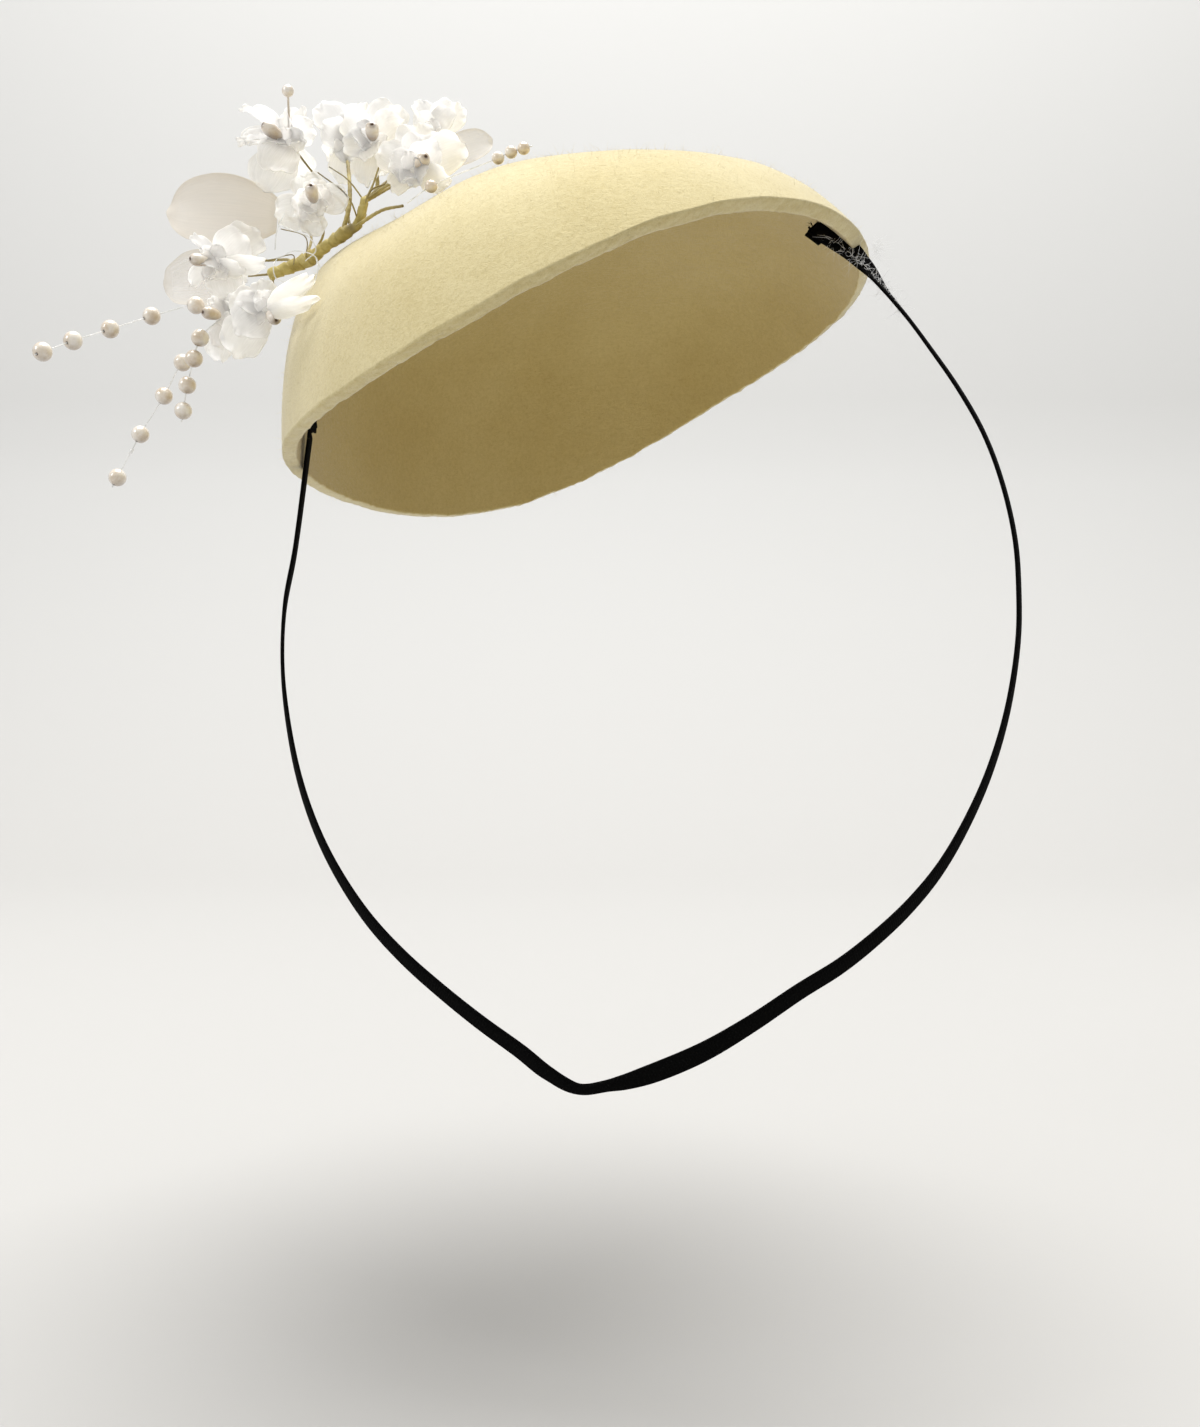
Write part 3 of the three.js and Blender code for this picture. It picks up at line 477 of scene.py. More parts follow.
def hairs(start, way, lean, length, radius, bends=3):
    """Fine tapered hairs, one for each start: each is a three-sided tube along a parabola that
    leaves along way and bends towards lean, all computed as one array."""
    count = len(start)
    u = np.linspace(0, 1, bends)[None, :, None]
    line = start[:, None] + (way[:, None] * u + lean[:, None] * u**2) * length[:, None, None]
    side = unit(np.cross(way, lean + 1e-6))
    over = unit(np.cross(way, side))
    angle = np.arange(3) * 2 * np.pi / 3
    ring = (side[:, None] * np.cos(angle)[None, :, None]
            + over[:, None] * np.sin(angle)[None, :, None])
    thin = (radius * (1 - 0.75 * u[..., 0]))[..., None, None]
    points = (line[:, :, None] + ring[:, None] * thin).reshape(-1, 3)
    at = np.arange(count * bends * 3).reshape(count, bends, 3)
    beside = np.roll(at, -1, axis=2)
    quads = np.stack([at[:, :-1], beside[:, :-1], beside[:, 1:], at[:, 1:]], -1).reshape(-1, 4)
    fans = np.vstack([at[:, 0, ::-1], at[:, -1]])
    return {"points": points, "quads": quads, "fans": fans, "uv": np.zeros((len(points), 2)),
            "tone": np.full(len(points), FELT_TONE)}


wild = np.random.default_rng(11)
fuzz_out = np.sqrt(wild.uniform(0.02, 1, FUZZ_COUNT))
fuzz_turn = wild.uniform(0, 2 * np.pi, FUZZ_COUNT)
near_edge = wild.uniform(0, 1, FUZZ_COUNT) < EDGE_FUZZ_SHARE
fuzz_out[near_edge] = 1
fuzz_root = over_cap(fuzz_out, fuzz_turn, np.where(near_edge, -wild.uniform(0, 1, FUZZ_COUNT), 0)
                     * FELT_THICKNESS)
fuzz_up = unit(over_cap(fuzz_out, fuzz_turn, 1 * MM) - over_cap(fuzz_out, fuzz_turn, 0.0))
fuzz_way = unit(loose(wild, FUZZ_COUNT) + 0.9 * fuzz_up - CAP_UP * near_edge[:, None])
fuzz_lean = unit(loose(wild, FUZZ_COUNT)) * 0.7
fuzz = hairs(fuzz_root, fuzz_way, fuzz_lean, FUZZ_LENGTH * wild.uniform(0.4, 1.2, FUZZ_COUNT),
             FUZZ_RADIUS)
make_piece("felt_fuzz", [fuzz], wool)

# Sewn ends of the elastic: each end is folded back on itself and caught to the inside of the felt
# with a few black stitches, and its cut threads fray. Each has its turn round the rim, the shares
# of the way out between which it lies, and how far its face is turned to the near side.
TAB_WIDTH = 5.2 * MM
TAB_THICKNESS = 1.8 * MM
TAB_ROWS = 40
STITCH_ROWS = (6, 34)
FRAY_COUNT = 16
FRAY_RADIUS = 0.05 * MM
TABS = [("right", 343, 0.928, 0.958, 0.7), ("left", 182, 0.875, 0.955, 0.0)]
SEAT_GAP = 0.3 * MM
STITCH_PITCH = 1.3 * MM

tab_lift = -(FELT_THICKNESS + 2 * SEAT_GAP + TAB_THICKNESS / 2)
for side_name, turn_degrees, tab_inner, tab_outer, tab_facing in TABS:
    tab_turn = math.radians(turn_degrees)
    run = np.linspace(tab_inner, tab_outer, TAB_ROWS)
    tab_line = over_cap(run, np.full(TAB_ROWS, tab_turn), tab_lift)
    tab_along = np.linspace(0, np.linalg.norm(tab_line[-1] - tab_line[0]), TAB_ROWS)
    up = unit(over_cap(run, np.full(TAB_ROWS, tab_turn), 0.0) - tab_line)
    tab_parts = []
    for layer in (-1, 1):
        layer_line = tab_line + up * layer * TAB_THICKNESS / 4
        rings, uv = band_rings(layer_line, tab_along, TAB_WIDTH, TAB_THICKNESS * 0.46,
                               toward=tab_facing)
        tab_parts.append(skin(rings, uv))
    stitch_count = 1 + int(tab_along[-1] / STITCH_PITCH)
    for k, spot in enumerate(np.linspace(*STITCH_ROWS, stitch_count).astype(int)):
        middle = tab_line[spot] - up[spot] * TAB_THICKNESS / 2
        cross = unit(np.cross(up[spot], tab_line[-1] - tab_line[0]))
        slant = unit(tab_line[-1] - tab_line[0]) * 0.7 * MM * (-1) ** k
        reach = np.linspace(-1, 1, 9)[:, None]
        stitch = middle + (cross * 1.9 * MM + slant) * reach - up[spot] * 0.15 * MM * (
            1 - reach**2)
        along = np.linspace(0, 3.8 * MM, 9)
        rings, uv = band_rings(stitch, along, 0.45 * MM, 0.45 * MM, 10)
        tab_parts.append(skin(rings, uv))
    wild = np.random.default_rng(int(turn_degrees))
    across = unit(np.cross(up[0], tab_line[1] - tab_line[0]))
    fray_root = tab_line[0] + across * wild.uniform(-0.45, 0.45, (FRAY_COUNT, 1)) * TAB_WIDTH
    fray_way = unit(unit(tab_line[0] - tab_line[-1]) + 0.35 * loose(wild, FRAY_COUNT))
    fray_lean = unit(loose(wild, FRAY_COUNT)) * 0.5
    tab_parts.append(hairs(fray_root, fray_way, fray_lean, wild.uniform(0.4, 1.4, FRAY_COUNT) * MM,
                           FRAY_RADIUS, 4))
    make_piece(f"sewn_end_{side_name}", tab_parts, braid, [f"elastic_tab_{side_name}"])

# Loose wool: white ends that the needle pulled out at the right, caught along the lower edge of the
# elastic, and a soft tuft of them at the tip of the rim.
CAUGHT_COUNT = 190
CAUGHT_SPAN = (4 * MM, 29 * MM)
CAUGHT_RADIUS = 0.05 * MM
TUFT_COUNT = 100
TUFT_RADIUS = 0.016 * MM
TUFT_PLACE = np.array([48.6, -23.0, -16.8]) * MM
teased, tree, shader = new_material("teased_wool", (0.95, 0.96, 0.97), Roughness=0.7,
                                    Sheen_Weight=0.6)
fibre = matted(tree, 700.0, 2300.0)
colour_by(tree, shader, ramp(tree, fibre.outputs["Cloud"], [
    (0.35, (0.92, 0.92, 0.91)), (0.6, (0.97, 0.98, 1.0))]))
wild = np.random.default_rng(21)
caught_at = wild.uniform(*CAUGHT_SPAN, CAUGHT_COUNT)
caught_spot = np.searchsorted(elastic_along, caught_at)
band_edge = worn_rings[caught_spot, wild.integers(0, ELASTIC_SIDES, CAUGHT_COUNT)]
low_edge = worn_rings[caught_spot].min(1) * [0, 0, 1] + worn_line[caught_spot] * [1, 1, 0]
caught_root = low_edge + (band_edge - low_edge) * wild.uniform(0, 0.45, (CAUGHT_COUNT, 1))
caught_root[:, 1] -= np.where(caught_at < DOUBLED_LENGTH, 1.5, 0.9) * MM
caught_way = unit(loose(wild, CAUGHT_COUNT) * [1, 0.25, 1])
caught_lean = unit(loose(wild, CAUGHT_COUNT) * [1, 0.3, 1]) * 1.1
tuft_root = TUFT_PLACE + loose(wild, TUFT_COUNT) * [0.5, 0.5, 1.1] * MM
tuft_way = unit(loose(wild, TUFT_COUNT) * 0.6 + [0.9, -0.2, -0.15])
tuft_lean = unit(loose(wild, TUFT_COUNT)) * 0.9
make_piece("wool_fluff", [
    hairs(caught_root, caught_way, caught_lean, wild.uniform(0.9, 2.4, CAUGHT_COUNT) * MM,
          CAUGHT_RADIUS, 6),
    hairs(tuft_root, tuft_way, tuft_lean, wild.uniform(0.8, 2.1, TUFT_COUNT) * MM,
          TUFT_RADIUS, 5)], teased)

# Spray stem: millinery wires bound together with olive-gold paper tape, knotted where a branch
# leaves. It follows the shoulder of the crown. Every place in the spray is a share of its reach.
SPRAY_REACH = 40 * MM
SPRAY_SEAT = cap_point(0.70, math.radians(213))
STEM_RADIUS = 1.6 * MM
WIRE_RADIUS = 0.5 * MM
KNOT_SWELL = 0.35
STEM_KNOTS = (0.32, 0.66)
TAPE_PITCH = 2.3 * MM


def spray_point(share):
    """Share of the reach to the right, towards the near side and up, from the spray's seat."""
    across, near, up = np.moveaxis(np.asarray(share, float), -1, 0)
    return SPRAY_SEAT + np.stack([across, -near, up], -1) * SPRAY_REACH


def ring_round(middle, side, over, reach, turn):
    """Rings at each middle: reach along side by the cosine of the turn, and over by its sine."""
    return (middle + side * (reach * np.cos(turn))[..., None]
            + over * (reach * np.sin(turn))[..., None])


def tube(line, along, radius, sides=14, wrap=0.0, pitch=TAPE_PITCH, tone=0.5):
    """A round tube along a line. wrap is the height, as a share of the radius, of the overlapping
    edge of a tape wound round it at that pitch: a saw tooth of the turn plus the way along."""
    tangent = unit(np.gradient(line, axis=0))
    flat = np.linalg.svd(line - line.mean(0))[2][-1]
    over = unit(flat - tangent * (tangent @ flat)[:, None])
    side = np.cross(tangent, over)
    turn = turns(sides)[None, :]
    saw = np.mod(turn / (2 * np.pi) + along[:, None] / pitch, 1)
    reach = np.broadcast_to(radius, along.shape)[:, None] * (1 + wrap * (saw - 0.5))
    rings = ring_round(line[:, None], side[:, None], over[:, None], reach, turn)
    uv = np.stack(np.broadcast_arrays(along[:, None] / MM, turn * 2), -1)
    tone = np.reshape(tone, (-1, 1)) if np.ndim(tone) < 2 else tone
    return skin(rings, uv, np.broadcast_to(tone, reach.shape))


tape, tree, shader = new_material("stem_tape", (0.60, 0.46, 0.13), Roughness=0.6,
                                  Sheen_Weight=0.15)
fibre = matted(tree, 260.0, 2600.0)
gold = ramp(tree, fibre.outputs["Cloud"], [
    (0.32, (0.34, 0.26, 0.06)), (0.5, (0.53, 0.43, 0.13)), (0.7, (0.68, 0.59, 0.27))])
colour_by(tree, shader, blend(tree, "MIX", tone_of(tree), (0.10, 0.065, 0.03, 1), gold))
raise_by(tree, shader, fibre.outputs["Height"], 0.45, 0.12 * MM)

# Each place of the stem: share of the way out on the crown, turn, and lift in its resting heights.
# Its tip stands clear of the felt
STEM_PATH = np.array([(0.80, 205, 3.4), (0.74, 208, 1.3), (0.70, 213, 1.0), (0.67, 218, 1.0),
                      (0.64, 221, 1.1)])
STEM_TIP = (0.19, 0.15, 0.26)
STEM_SIDES = 26
stem_seat = SEAT_GAP + STEM_RADIUS * (1 + KNOT_SWELL)
stem_line, stem_along = smooth_line(np.vstack([
    over_cap(STEM_PATH[:, 0], np.radians(STEM_PATH[:, 1]), STEM_PATH[:, 2] * stem_seat),
    spray_point([STEM_TIP])]), 0.16 * MM)
stem_share = stem_along / stem_along[-1]
knots = sum(np.exp(-(((stem_share - knot) / 0.06) ** 2)) for knot in STEM_KNOTS)
stem_radius = 0.80 * STEM_RADIUS * (1 - 0.35 * stem_share**2 + KNOT_SWELL * knots)
stem_radius = stem_radius * (1 + 0.10 * ripple(stem_line, 2.5 * MM, 7))
stem_radius[-4:] *= [0.9, 0.75, 0.5, 0.2]
stem_radius[:4] *= [0.5, 0.75, 0.9, 0.97]
stem_turn = turns(STEM_SIDES)
stain = np.exp(-(((stem_share - 0.75) / 0.035) ** 2))[:, None] * (0.8 + 0.2 * np.sin(stem_turn))
stem_tone = np.clip(1 - 0.95 * stain - 0.15 * knots[:, None], 0, 1)
stem_parts = [tube(stem_line, stem_along, stem_radius, STEM_SIDES, 0.20, tone=stem_tone)]

# Blossoms: each petal is a leaf of stiffened white silk, cut with a waved rim, veined and curled
# with a hot iron, and gathered with the rest round a knot. Turn is the way it points seen from the
# near side, lift leans it towards the near side, roll twists it, length and width are shares of the
# reach, and last comes its tone: how dense the silk is.
BLOSSOMS = {
    "blossom_upper_left": ((-0.27, -0.11, 0.65), [
        (137, -12, 35, 0.37, 0.13, 0.75), (176, 4, 25, 0.27, 0.14, 0.6),
        (246, 10, 0, 0.30, 0.27, 0.25), (84, -20, -20, 0.23, 0.17, 0.55),
        (26, 26, 10, 0.16, 0.16, 0.9)]),
    "blossom_top": ((0.01, -0.28, 0.71), [
        (122, 12, 10, 0.24, 0.20, 1.0), (72, 0, -20, 0.24, 0.20, 1.0),
        (205, -30, 0, 0.14, 0.15, 0.4), (268, 24, 0, 0.24, 0.16, 0.9)]),
    "blossom_crest": ((0.20, -0.02, 0.60), [
        (60, 0, 0, 0.25, 0.23, 0.3), (135, 20, 0, 0.18, 0.18, 0.95), (262, 20, 0, 0.23, 0.17, 0.7),
        (195, 30, 0, 0.15, 0.15, 0.8)]),
    "blossom_right": ((0.46, 0.24, 0.36), [
        (152, 10, 0, 0.19, 0.18, 0.6), (82, -4, 0, 0.24, 0.24, 0.7), (20, 14, 0, 0.28, 0.23, 0.75),
        (330, 30, 25, 0.23, 0.15, 1.0), (232, 28, 0, 0.16, 0.14, 0.8)]),
    "blossom_high_right": ((0.50, -0.22, 0.71), [
        (52, 4, 0, 0.23, 0.20, 1.0), (108, 12, 30, 0.20, 0.15, 0.7),
        (338, -5, 0, 0.16, 0.16, 0.3)]),
    "blossom_inner": ((-0.08, 0.14, 0.20), [
        (196, 8, 0, 0.19, 0.21, 0.35), (18, 14, 0, 0.17, 0.17, 0.3), (108, -6, 0, 0.19, 0.18, 0.2),
        (268, 12, 0, 0.14, 0.15, 0.4)]),
    "blossom_left": ((-0.69, -0.22, 0.03), [
        (137, 10, 40, 0.18, 0.10, 0.9), (38, -4, 0, 0.26, 0.24, 0.7),
        (354, 18, 50, 0.27, 0.13, 0.9), (214, -4, 20, 0.19, 0.12, 0.6),
        (286, 0, 0, 0.18, 0.21, 0.2)]),
    "blossom_low_left": ((-0.70, -0.44, -0.21), [
        (252, -12, 0, 0.24, 0.18, 0.5), (124, 10, 0, 0.12, 0.13, 0.6),
        (80, 14, 0, 0.14, 0.15, 0.7)]),
    "blossom_low_right": ((-0.37, 0.02, -0.31), [
        (232, 2, 0, 0.28, 0.26, 0.75), (158, 2, 10, 0.19, 0.16, 0.8), (10, 50, 35, 0.46, 0.12, 1.0),
        (344, 54, 45, 0.56, 0.10, 0.8), (92, 14, 0, 0.14, 0.15, 0.7)]),
}
HUB_RADIUS = 1.7 * MM
PETAL_ROWS = 22
PETAL_COLUMNS = 20
PETAL_WALL = 0.20 * MM
CUP_LEAVES = 3
# Petals up to this share of the reach have a second one laid over them
LONGEST_DOUBLED = 0.4
# Blossoms that stand clear of the felt have leaves at the back as well
CLEAR_OF_FELT = ("upper_left", "top", "crest", "right", "high_right", "left", "low_left")
BACK_LEAVES = 3
CRINKLE_PITCH = 3.4 * MM
CRINKLE_DEPTH = 0.16 * MM
# How high a petal arches and how far its tip curls back, as shares of its length, and how deep it
# cups and its rim ruffles, as shares of its width. Scallops are shares of its size.
ARCH, TIP_CURL, CUP, RUFFLE = 0.09, 0.14, 0.13, 0.085
SCALLOP, FINE_SCALLOP = 0.055, 0.025
MIDDLE = 0.55


def petal_axes(turn, lift, roll=0.0):
    """Unit way of a petal, the side that faces the near side, and its own right, by its angles."""
    turn, lift, roll = np.radians([turn, lift, roll])
    along = np.array([np.cos(turn) * np.cos(lift), -np.sin(lift), np.sin(turn) * np.cos(lift)])
    face = np.array([0.0, -1.0, 0.0])
    face = unit(face - along * face.dot(along))
    side = np.cross(along, face)
    face = face * np.cos(roll) + side * np.sin(roll)
    return along, face, np.cross(along, face)


def petal(root, turn, lift, roll, length, width, wild, tone=0.5, ruffle=1.0, fullest=1.35):
    """A leaf on a grid, u from root to tip and v from side to side, closer together at the rim.
    Its half width is that of an ellipse over u^fullest, which closes it roundly. It arches as
    sin(pi u) and cups as v squared. Towards the rim, by the fourth power of the nearness to it, it
    ruffles and scallops by sines of the angle about its middle. Last, a soft ripple crinkles it."""
    along, face, side = petal_axes(turn, lift, roll)
    u = np.sin(np.pi / 2 * np.linspace(0.05, 0.985, PETAL_ROWS))[:, None]
    v = np.sin(np.pi / 2 * np.linspace(-1, 1, PETAL_COLUMNS))[None, :]
    phase = wild.uniform(0, 2 * np.pi, 6)
    waves = wild.uniform(2.4, 4.2)
    outline = 2 * np.sqrt(u**fullest * (1 - u**fullest))
    angle = np.arctan2(v * outline, 1.6 * (u - MIDDLE))
    rim = np.minimum((v**4 + np.clip(2 * u - 1, 0, 1) ** 4) ** 0.25, 1) ** 4 * u
    scallop = 1 - ruffle * rim * (SCALLOP * np.sin(2 * waves * angle + phase[0])
                                  + FINE_SCALLOP * np.sin(11 * angle + phase[1]))
    ruffled = np.sin(waves * angle + phase[2]) + 0.45 * np.sin(2.3 * waves * angle + phase[3])
    rise = (ARCH * length * np.sin(np.pi * u) + CUP * width * (v * outline) ** 2 * u
            + RUFFLE * ruffle * width * rim * ruffled
            - wild.uniform(0, TIP_CURL) * ruffle * length * u**4)
    grid = (root + along * (length * (MIDDLE + (u - MIDDLE) * scallop))[..., None]
            + side * (width / 2 * outline * v * scallop)[..., None] + face * rise[..., None])
    crinkle = ripple(grid, CRINKLE_PITCH, int(wild.integers(1000))) * CRINKLE_DEPTH * ruffle * u
    grid = grid + face * crinkle[..., None]
    at = np.arange(PETAL_ROWS * PETAL_COLUMNS).reshape(PETAL_ROWS, PETAL_COLUMNS)
    quads = np.stack([at[:-1, :-1], at[:-1, 1:], at[1:, 1:], at[1:, :-1]], -1).reshape(-1, 4)
    uv = np.stack(np.broadcast_arrays(u, v / 2 + 0.5), -1).reshape(-1, 2)
    return {"points": grid.reshape(-1, 3), "quads": quads, "fans": np.zeros((0, 3), int),
            "uv": uv, "tone": np.full(len(uv), tone)}


def silk_group():
    """Silk leaf on its uv: veins that fan from the root as a stretched wave, and a fine weave."""
    group, _, result = new_effect("silk_leaf", (), ("Vein", "Rim", "Height"))
    uv = node(group, "ShaderNodeUVMap").outputs["UV"]
    stretched = node(group, "ShaderNodeMapping", Vector=uv, Scale=(1.6, 22.0, 1)).outputs["Vector"]
    veins = node(group, "ShaderNodeTexNoise", Vector=stretched, Scale=1.3, Detail=5.0,
                 Roughness=0.65)
    place = node(group, "ShaderNodeTexCoord").outputs["Object"]
    weave = node(group, "ShaderNodeTexNoise", Vector=place, Scale=2400.0, Detail=2.0)
    height = maths(group, "MULTIPLY_ADD", weave.outputs["Fac"], 0.25, veins.outputs["Fac"])
    parts = node(group, "ShaderNodeSeparateXYZ", Vector=uv)
    off = maths(group, "ABSOLUTE", maths(group, "SUBTRACT", parts.outputs["Y"], 0.5))
    side = node(group, "ShaderNodeMapRange", Value=off, i1=0.38, i2=0.5)
    tip = node(group, "ShaderNodeMapRange", Value=parts.outputs["X"], i1=0.88, i2=1.0)
    rim = maths(group, "MAXIMUM", side.outputs[0], tip.outputs[0])
    for name, value in (("Vein", veins.outputs["Fac"]), ("Rim", rim), ("Height", height)):
        group.links.new(value, result.inputs[name])
    return group


SILK_LEAF = silk_group()


def leaf_material(name, shade, light, thin, thick, vein, rim_alpha, **sockets):
    """Silk or organza: colour between two shades and alpha between thin and thick, both by the
    leaf's tone with its veins added. The rim is denser."""
    material, tree, shader = new_material(name, light, **sockets)
    leaf = tree.nodes.new("ShaderNodeGroup")
    leaf.node_tree = SILK_LEAF
    fibres = maths(tree, "SUBTRACT", leaf.outputs["Vein"], 0.5)
    mixed = maths(tree, "MULTIPLY_ADD", fibres, vein, tone_of(tree))
    colour_by(tree, shader, ramp(tree, mixed, [(0.0, shade), (0.9, light)]))
    body = node(tree, "ShaderNodeMapRange", Value=mixed, i1=0.0, i2=1.0, i3=thin, i4=thick)
    cover = maths(tree, "MULTIPLY_ADD", leaf.outputs["Rim"], rim_alpha, body.outputs[0],
                  clamp=True)
    tree.links.new(cover, shader.inputs["Alpha"])
    raise_by(tree, shader, leaf.outputs["Height"], 0.35, 0.15 * MM)
    return material


# Stands for the light that thin white silk passes on from leaf to leaf
SILK_GLOW = 0.06
satin = leaf_material("silk_petal", (0.94, 0.90, 0.845), (0.985, 0.97, 0.94), 0.36, 0.86, 0.5, 0.14,
                      Roughness=0.36, Sheen_Weight=0.35, Subsurface_Weight=0.9,
                      Subsurface_Scale=0.010, Subsurface_Radius=(1.0, 0.96, 0.92),
                      Emission_Strength=SILK_GLOW)


def wall(piece, thickness):
    """Gives open leaves their thickness, half to each side."""
    solid = piece.modifiers.new("wall", "SOLIDIFY")
    solid.thickness = thickness
    solid.offset = 0
    return piece


def knot(centre, radius, wild):
    """A small gathered knot: a ball of latitude rings, its radius waved by the turn."""
    rise = np.linspace(-0.49, 0.49, 11)[:, None] * np.pi
    turn = turns(18)[None, :]
    reach = radius * (1 + 0.08 * np.sin(6 * turn + wild.uniform(0, 6)))
    rings = centre + np.stack(np.broadcast_arrays(
        reach * np.cos(rise) * np.cos(turn), reach * np.cos(rise) * np.sin(turn),
        radius * np.sin(rise) + 0 * turn), -1)
    return skin(rings)


for name, (at, petals) in BLOSSOMS.items():
    wild = np.random.default_rng(sum(map(ord, name)))
    hub = spray_point(at)
    leaves = []
    for turn, lift, roll, long, wide, dense in petals:
        along = petal_axes(turn, lift)[0]
        leaves.append(petal(hub + along * HUB_RADIUS / 2, turn, lift, roll, long * SPRAY_REACH,
                            wide * SPRAY_REACH, wild, dense))
        share = wild.uniform(0.66, 0.90)
        if long <= LONGEST_DOUBLED:
            leaves.append(petal(hub, turn + wild.uniform(-38, 38), lift + wild.uniform(12, 30),
                                roll + wild.uniform(-25, 25), long * share * SPRAY_REACH,
                                wide * wild.uniform(0.75, 0.95) * SPRAY_REACH, wild, dense * 0.8))
    first = wild.uniform(0, 360)
    for k in range(CUP_LEAVES):
        long = wild.uniform(0.09, 0.13) * SPRAY_REACH
        leaves.append(petal(hub, first + 360 * k / CUP_LEAVES, wild.uniform(38, 62),
                            wild.uniform(-30, 30), long, long * 0.95, wild, 0.4))
    if name.removeprefix("blossom_") in CLEAR_OF_FELT:
        for k in range(BACK_LEAVES):
            turn, lift, roll, long, wide, dense = petals[k % len(petals)]
            leaves.append(petal(hub, turn + wild.uniform(-25, 25), -wild.uniform(34, 56),
                                wild.uniform(-25, 25), 0.72 * long * SPRAY_REACH,
                                0.9 * wide * SPRAY_REACH, wild, dense * 0.8))
    wall(make_piece(name.replace("blossom", "silk_blossom"), leaves, satin, [name]),
         PETAL_WALL)
    make_piece(name.replace("blossom", "blossom_knot"), [knot(hub, HUB_RADIUS * 0.8, wild)], satin)

# Sheer petals: large single leaves of organza behind the blossoms, smooth-rimmed and see-through,
# with the threads of the cloth fanning from the root.
# Each has its place, the turn and lift of its way, its length and width as shares of the reach,
# and its tone.
SHEER_WALL = 0.08 * MM
SHEER_PETALS = [("upper", (-0.33, -0.33, 0.32), 176, -4, 0.70, 0.40, 0.75),
                ("left", (-0.62, -0.60, 0.07), 184, -6, 0.52, 0.33, 0.15),
                ("right", (0.58, 0.08, 0.48), 22, 0, 0.30, 0.18, 0.2)]
organza = leaf_material("organza_petal", (0.82, 0.77, 0.69), (0.88, 0.82, 0.72), 0.24, 0.64, 0.35,
                        0.22, Roughness=0.38, Sheen_Weight=0.2)
for name, at, turn, lift, long, wide, dense in SHEER_PETALS:
    leaf = petal(spray_point(at), turn, lift, 0, long * SPRAY_REACH, wide * SPRAY_REACH,
                 np.random.default_rng(len(name)), dense, 0.25, 1.08)
    wall(make_piece(f"organza_petal_{name}", [leaf], organza, [f"sheer_petal_{name}"]),
         SHEER_WALL)

# Wires: where each leaves the stem, the points it bends by, the piece it carries and its thickness.
# Fine twigs of bare wire and loops of spare nylon are left sticking out where they were cut.
WIRE_END = (0.42, 0.37, 0.13)
WIRES = [
    (0.66, [(0.08, 0.02, 0.26)], "blossom_top", 0.9),
    (0.74, [(0.03, -0.09, 0.30), (-0.12, -0.20, 0.47)], "blossom_upper_left", 0.55),
    (0.98, [(0.21, -0.12, 0.42)], "blossom_crest", 0.95),
    (0.96, [(0.30, 0.12, 0.33)], "blossom_right", 0.7),
    (0.98, [(0.33, -0.12, 0.50)], "blossom_high_right", 0.55),
    (0.76, [(0.30, 0.28, 0.14)], WIRE_END, 0.75),
    (0.34, [(-0.06, 0.02, 0.11)], "blossom_inner", 0.55),
    (0.16, [(-0.28, -0.16, 0.02), (-0.47, -0.32, 0.07)], "blossom_left", 0.6),
    (0.04, [(-0.49, -0.48, -0.14)], "blossom_low_left", 0.6),
    (0.02, [(-0.34, -0.08, -0.22)], "blossom_low_right", 0.6),
    (0.28, [(-0.20, -0.30, 0.22)], (-0.33, -0.33, 0.32), 0.6),
    (0.12, [(-0.41, -0.42, 0.03)], (-0.62, -0.60, 0.07), 0.6),
    (0.96, [(0.38, 0.00, 0.41)], (0.58, 0.08, 0.48), 0.6),
    (0.82, [(0.10, 0.17, 0.25)], (-0.06, 0.17, 0.38), 0.34),
    (0.97, [(0.10, 0.17, 0.34)], (0.00, 0.17, 0.41), 0.30),
    (0.97, [(0.22, 0.15, 0.30)], (0.26, 0.13, 0.43), 0.45),
    (0.90, [(0.23, 0.19, 0.28)], (0.30, 0.19, 0.31), 0.42),
    (0.30, [(-0.13, 0.18, 0.04)], (-0.25, 0.20, 0.07), 0.25),
    (0.20, [(-0.20, 0.18, -0.06)], (-0.32, 0.20, -0.10), 0.25),
]
NYLON_LOOPS = [
    [(-0.25, 0.22, 0.08), (-0.17, 0.26, 0.04), (-0.09, 0.24, 0.01), (-0.06, 0.22, -0.05),
     (-0.12, 0.20, -0.10)],
    [(-0.32, 0.20, -0.09), (-0.24, 0.24, -0.09), (-0.16, 0.27, -0.07), (-0.06, 0.25, -0.09),
     (-0.04, 0.22, -0.14)],
    [(-0.27, 0.20, -0.09), (-0.28, 0.24, -0.14), (-0.26, 0.25, -0.21), (-0.20, 0.22, -0.22)],
    [(-0.22, 0.14, 0.21), (-0.25, 0.20, 0.11), (-0.27, 0.22, 0.03), (-0.28, 0.20, -0.04)],
    [(-0.06, 0.22, -0.09), (-0.04, 0.26, -0.16), (-0.06, 0.26, -0.24)],
]
for start, bends, target, thick in WIRES:
    end = BLOSSOMS[target][0] if target in BLOSSOMS else target
    root = [stem_line[int(start * (len(stem_line) - 1))]]
    line, along = smooth_line(np.vstack([root, spray_point(bends), spray_point([end])]), 0.2 * MM)
    share = along / along[-1]
    radius = thick * WIRE_RADIUS * (1.15 - 0.35 * share) * (1 + 0.10 * ripple(line, 2 * MM, 3))
    brown = 0.50 + 0.35 * thick - 0.35 * share + 0.2 * ripple(line, 6 * MM, 5)
    stem_parts.append(tube(line, along, radius, 10, 0.18, 1.5 * MM, np.clip(brown, 0.15, 1)))
make_piece("taped_stem", stem_parts, tape, ["spray_stem"])

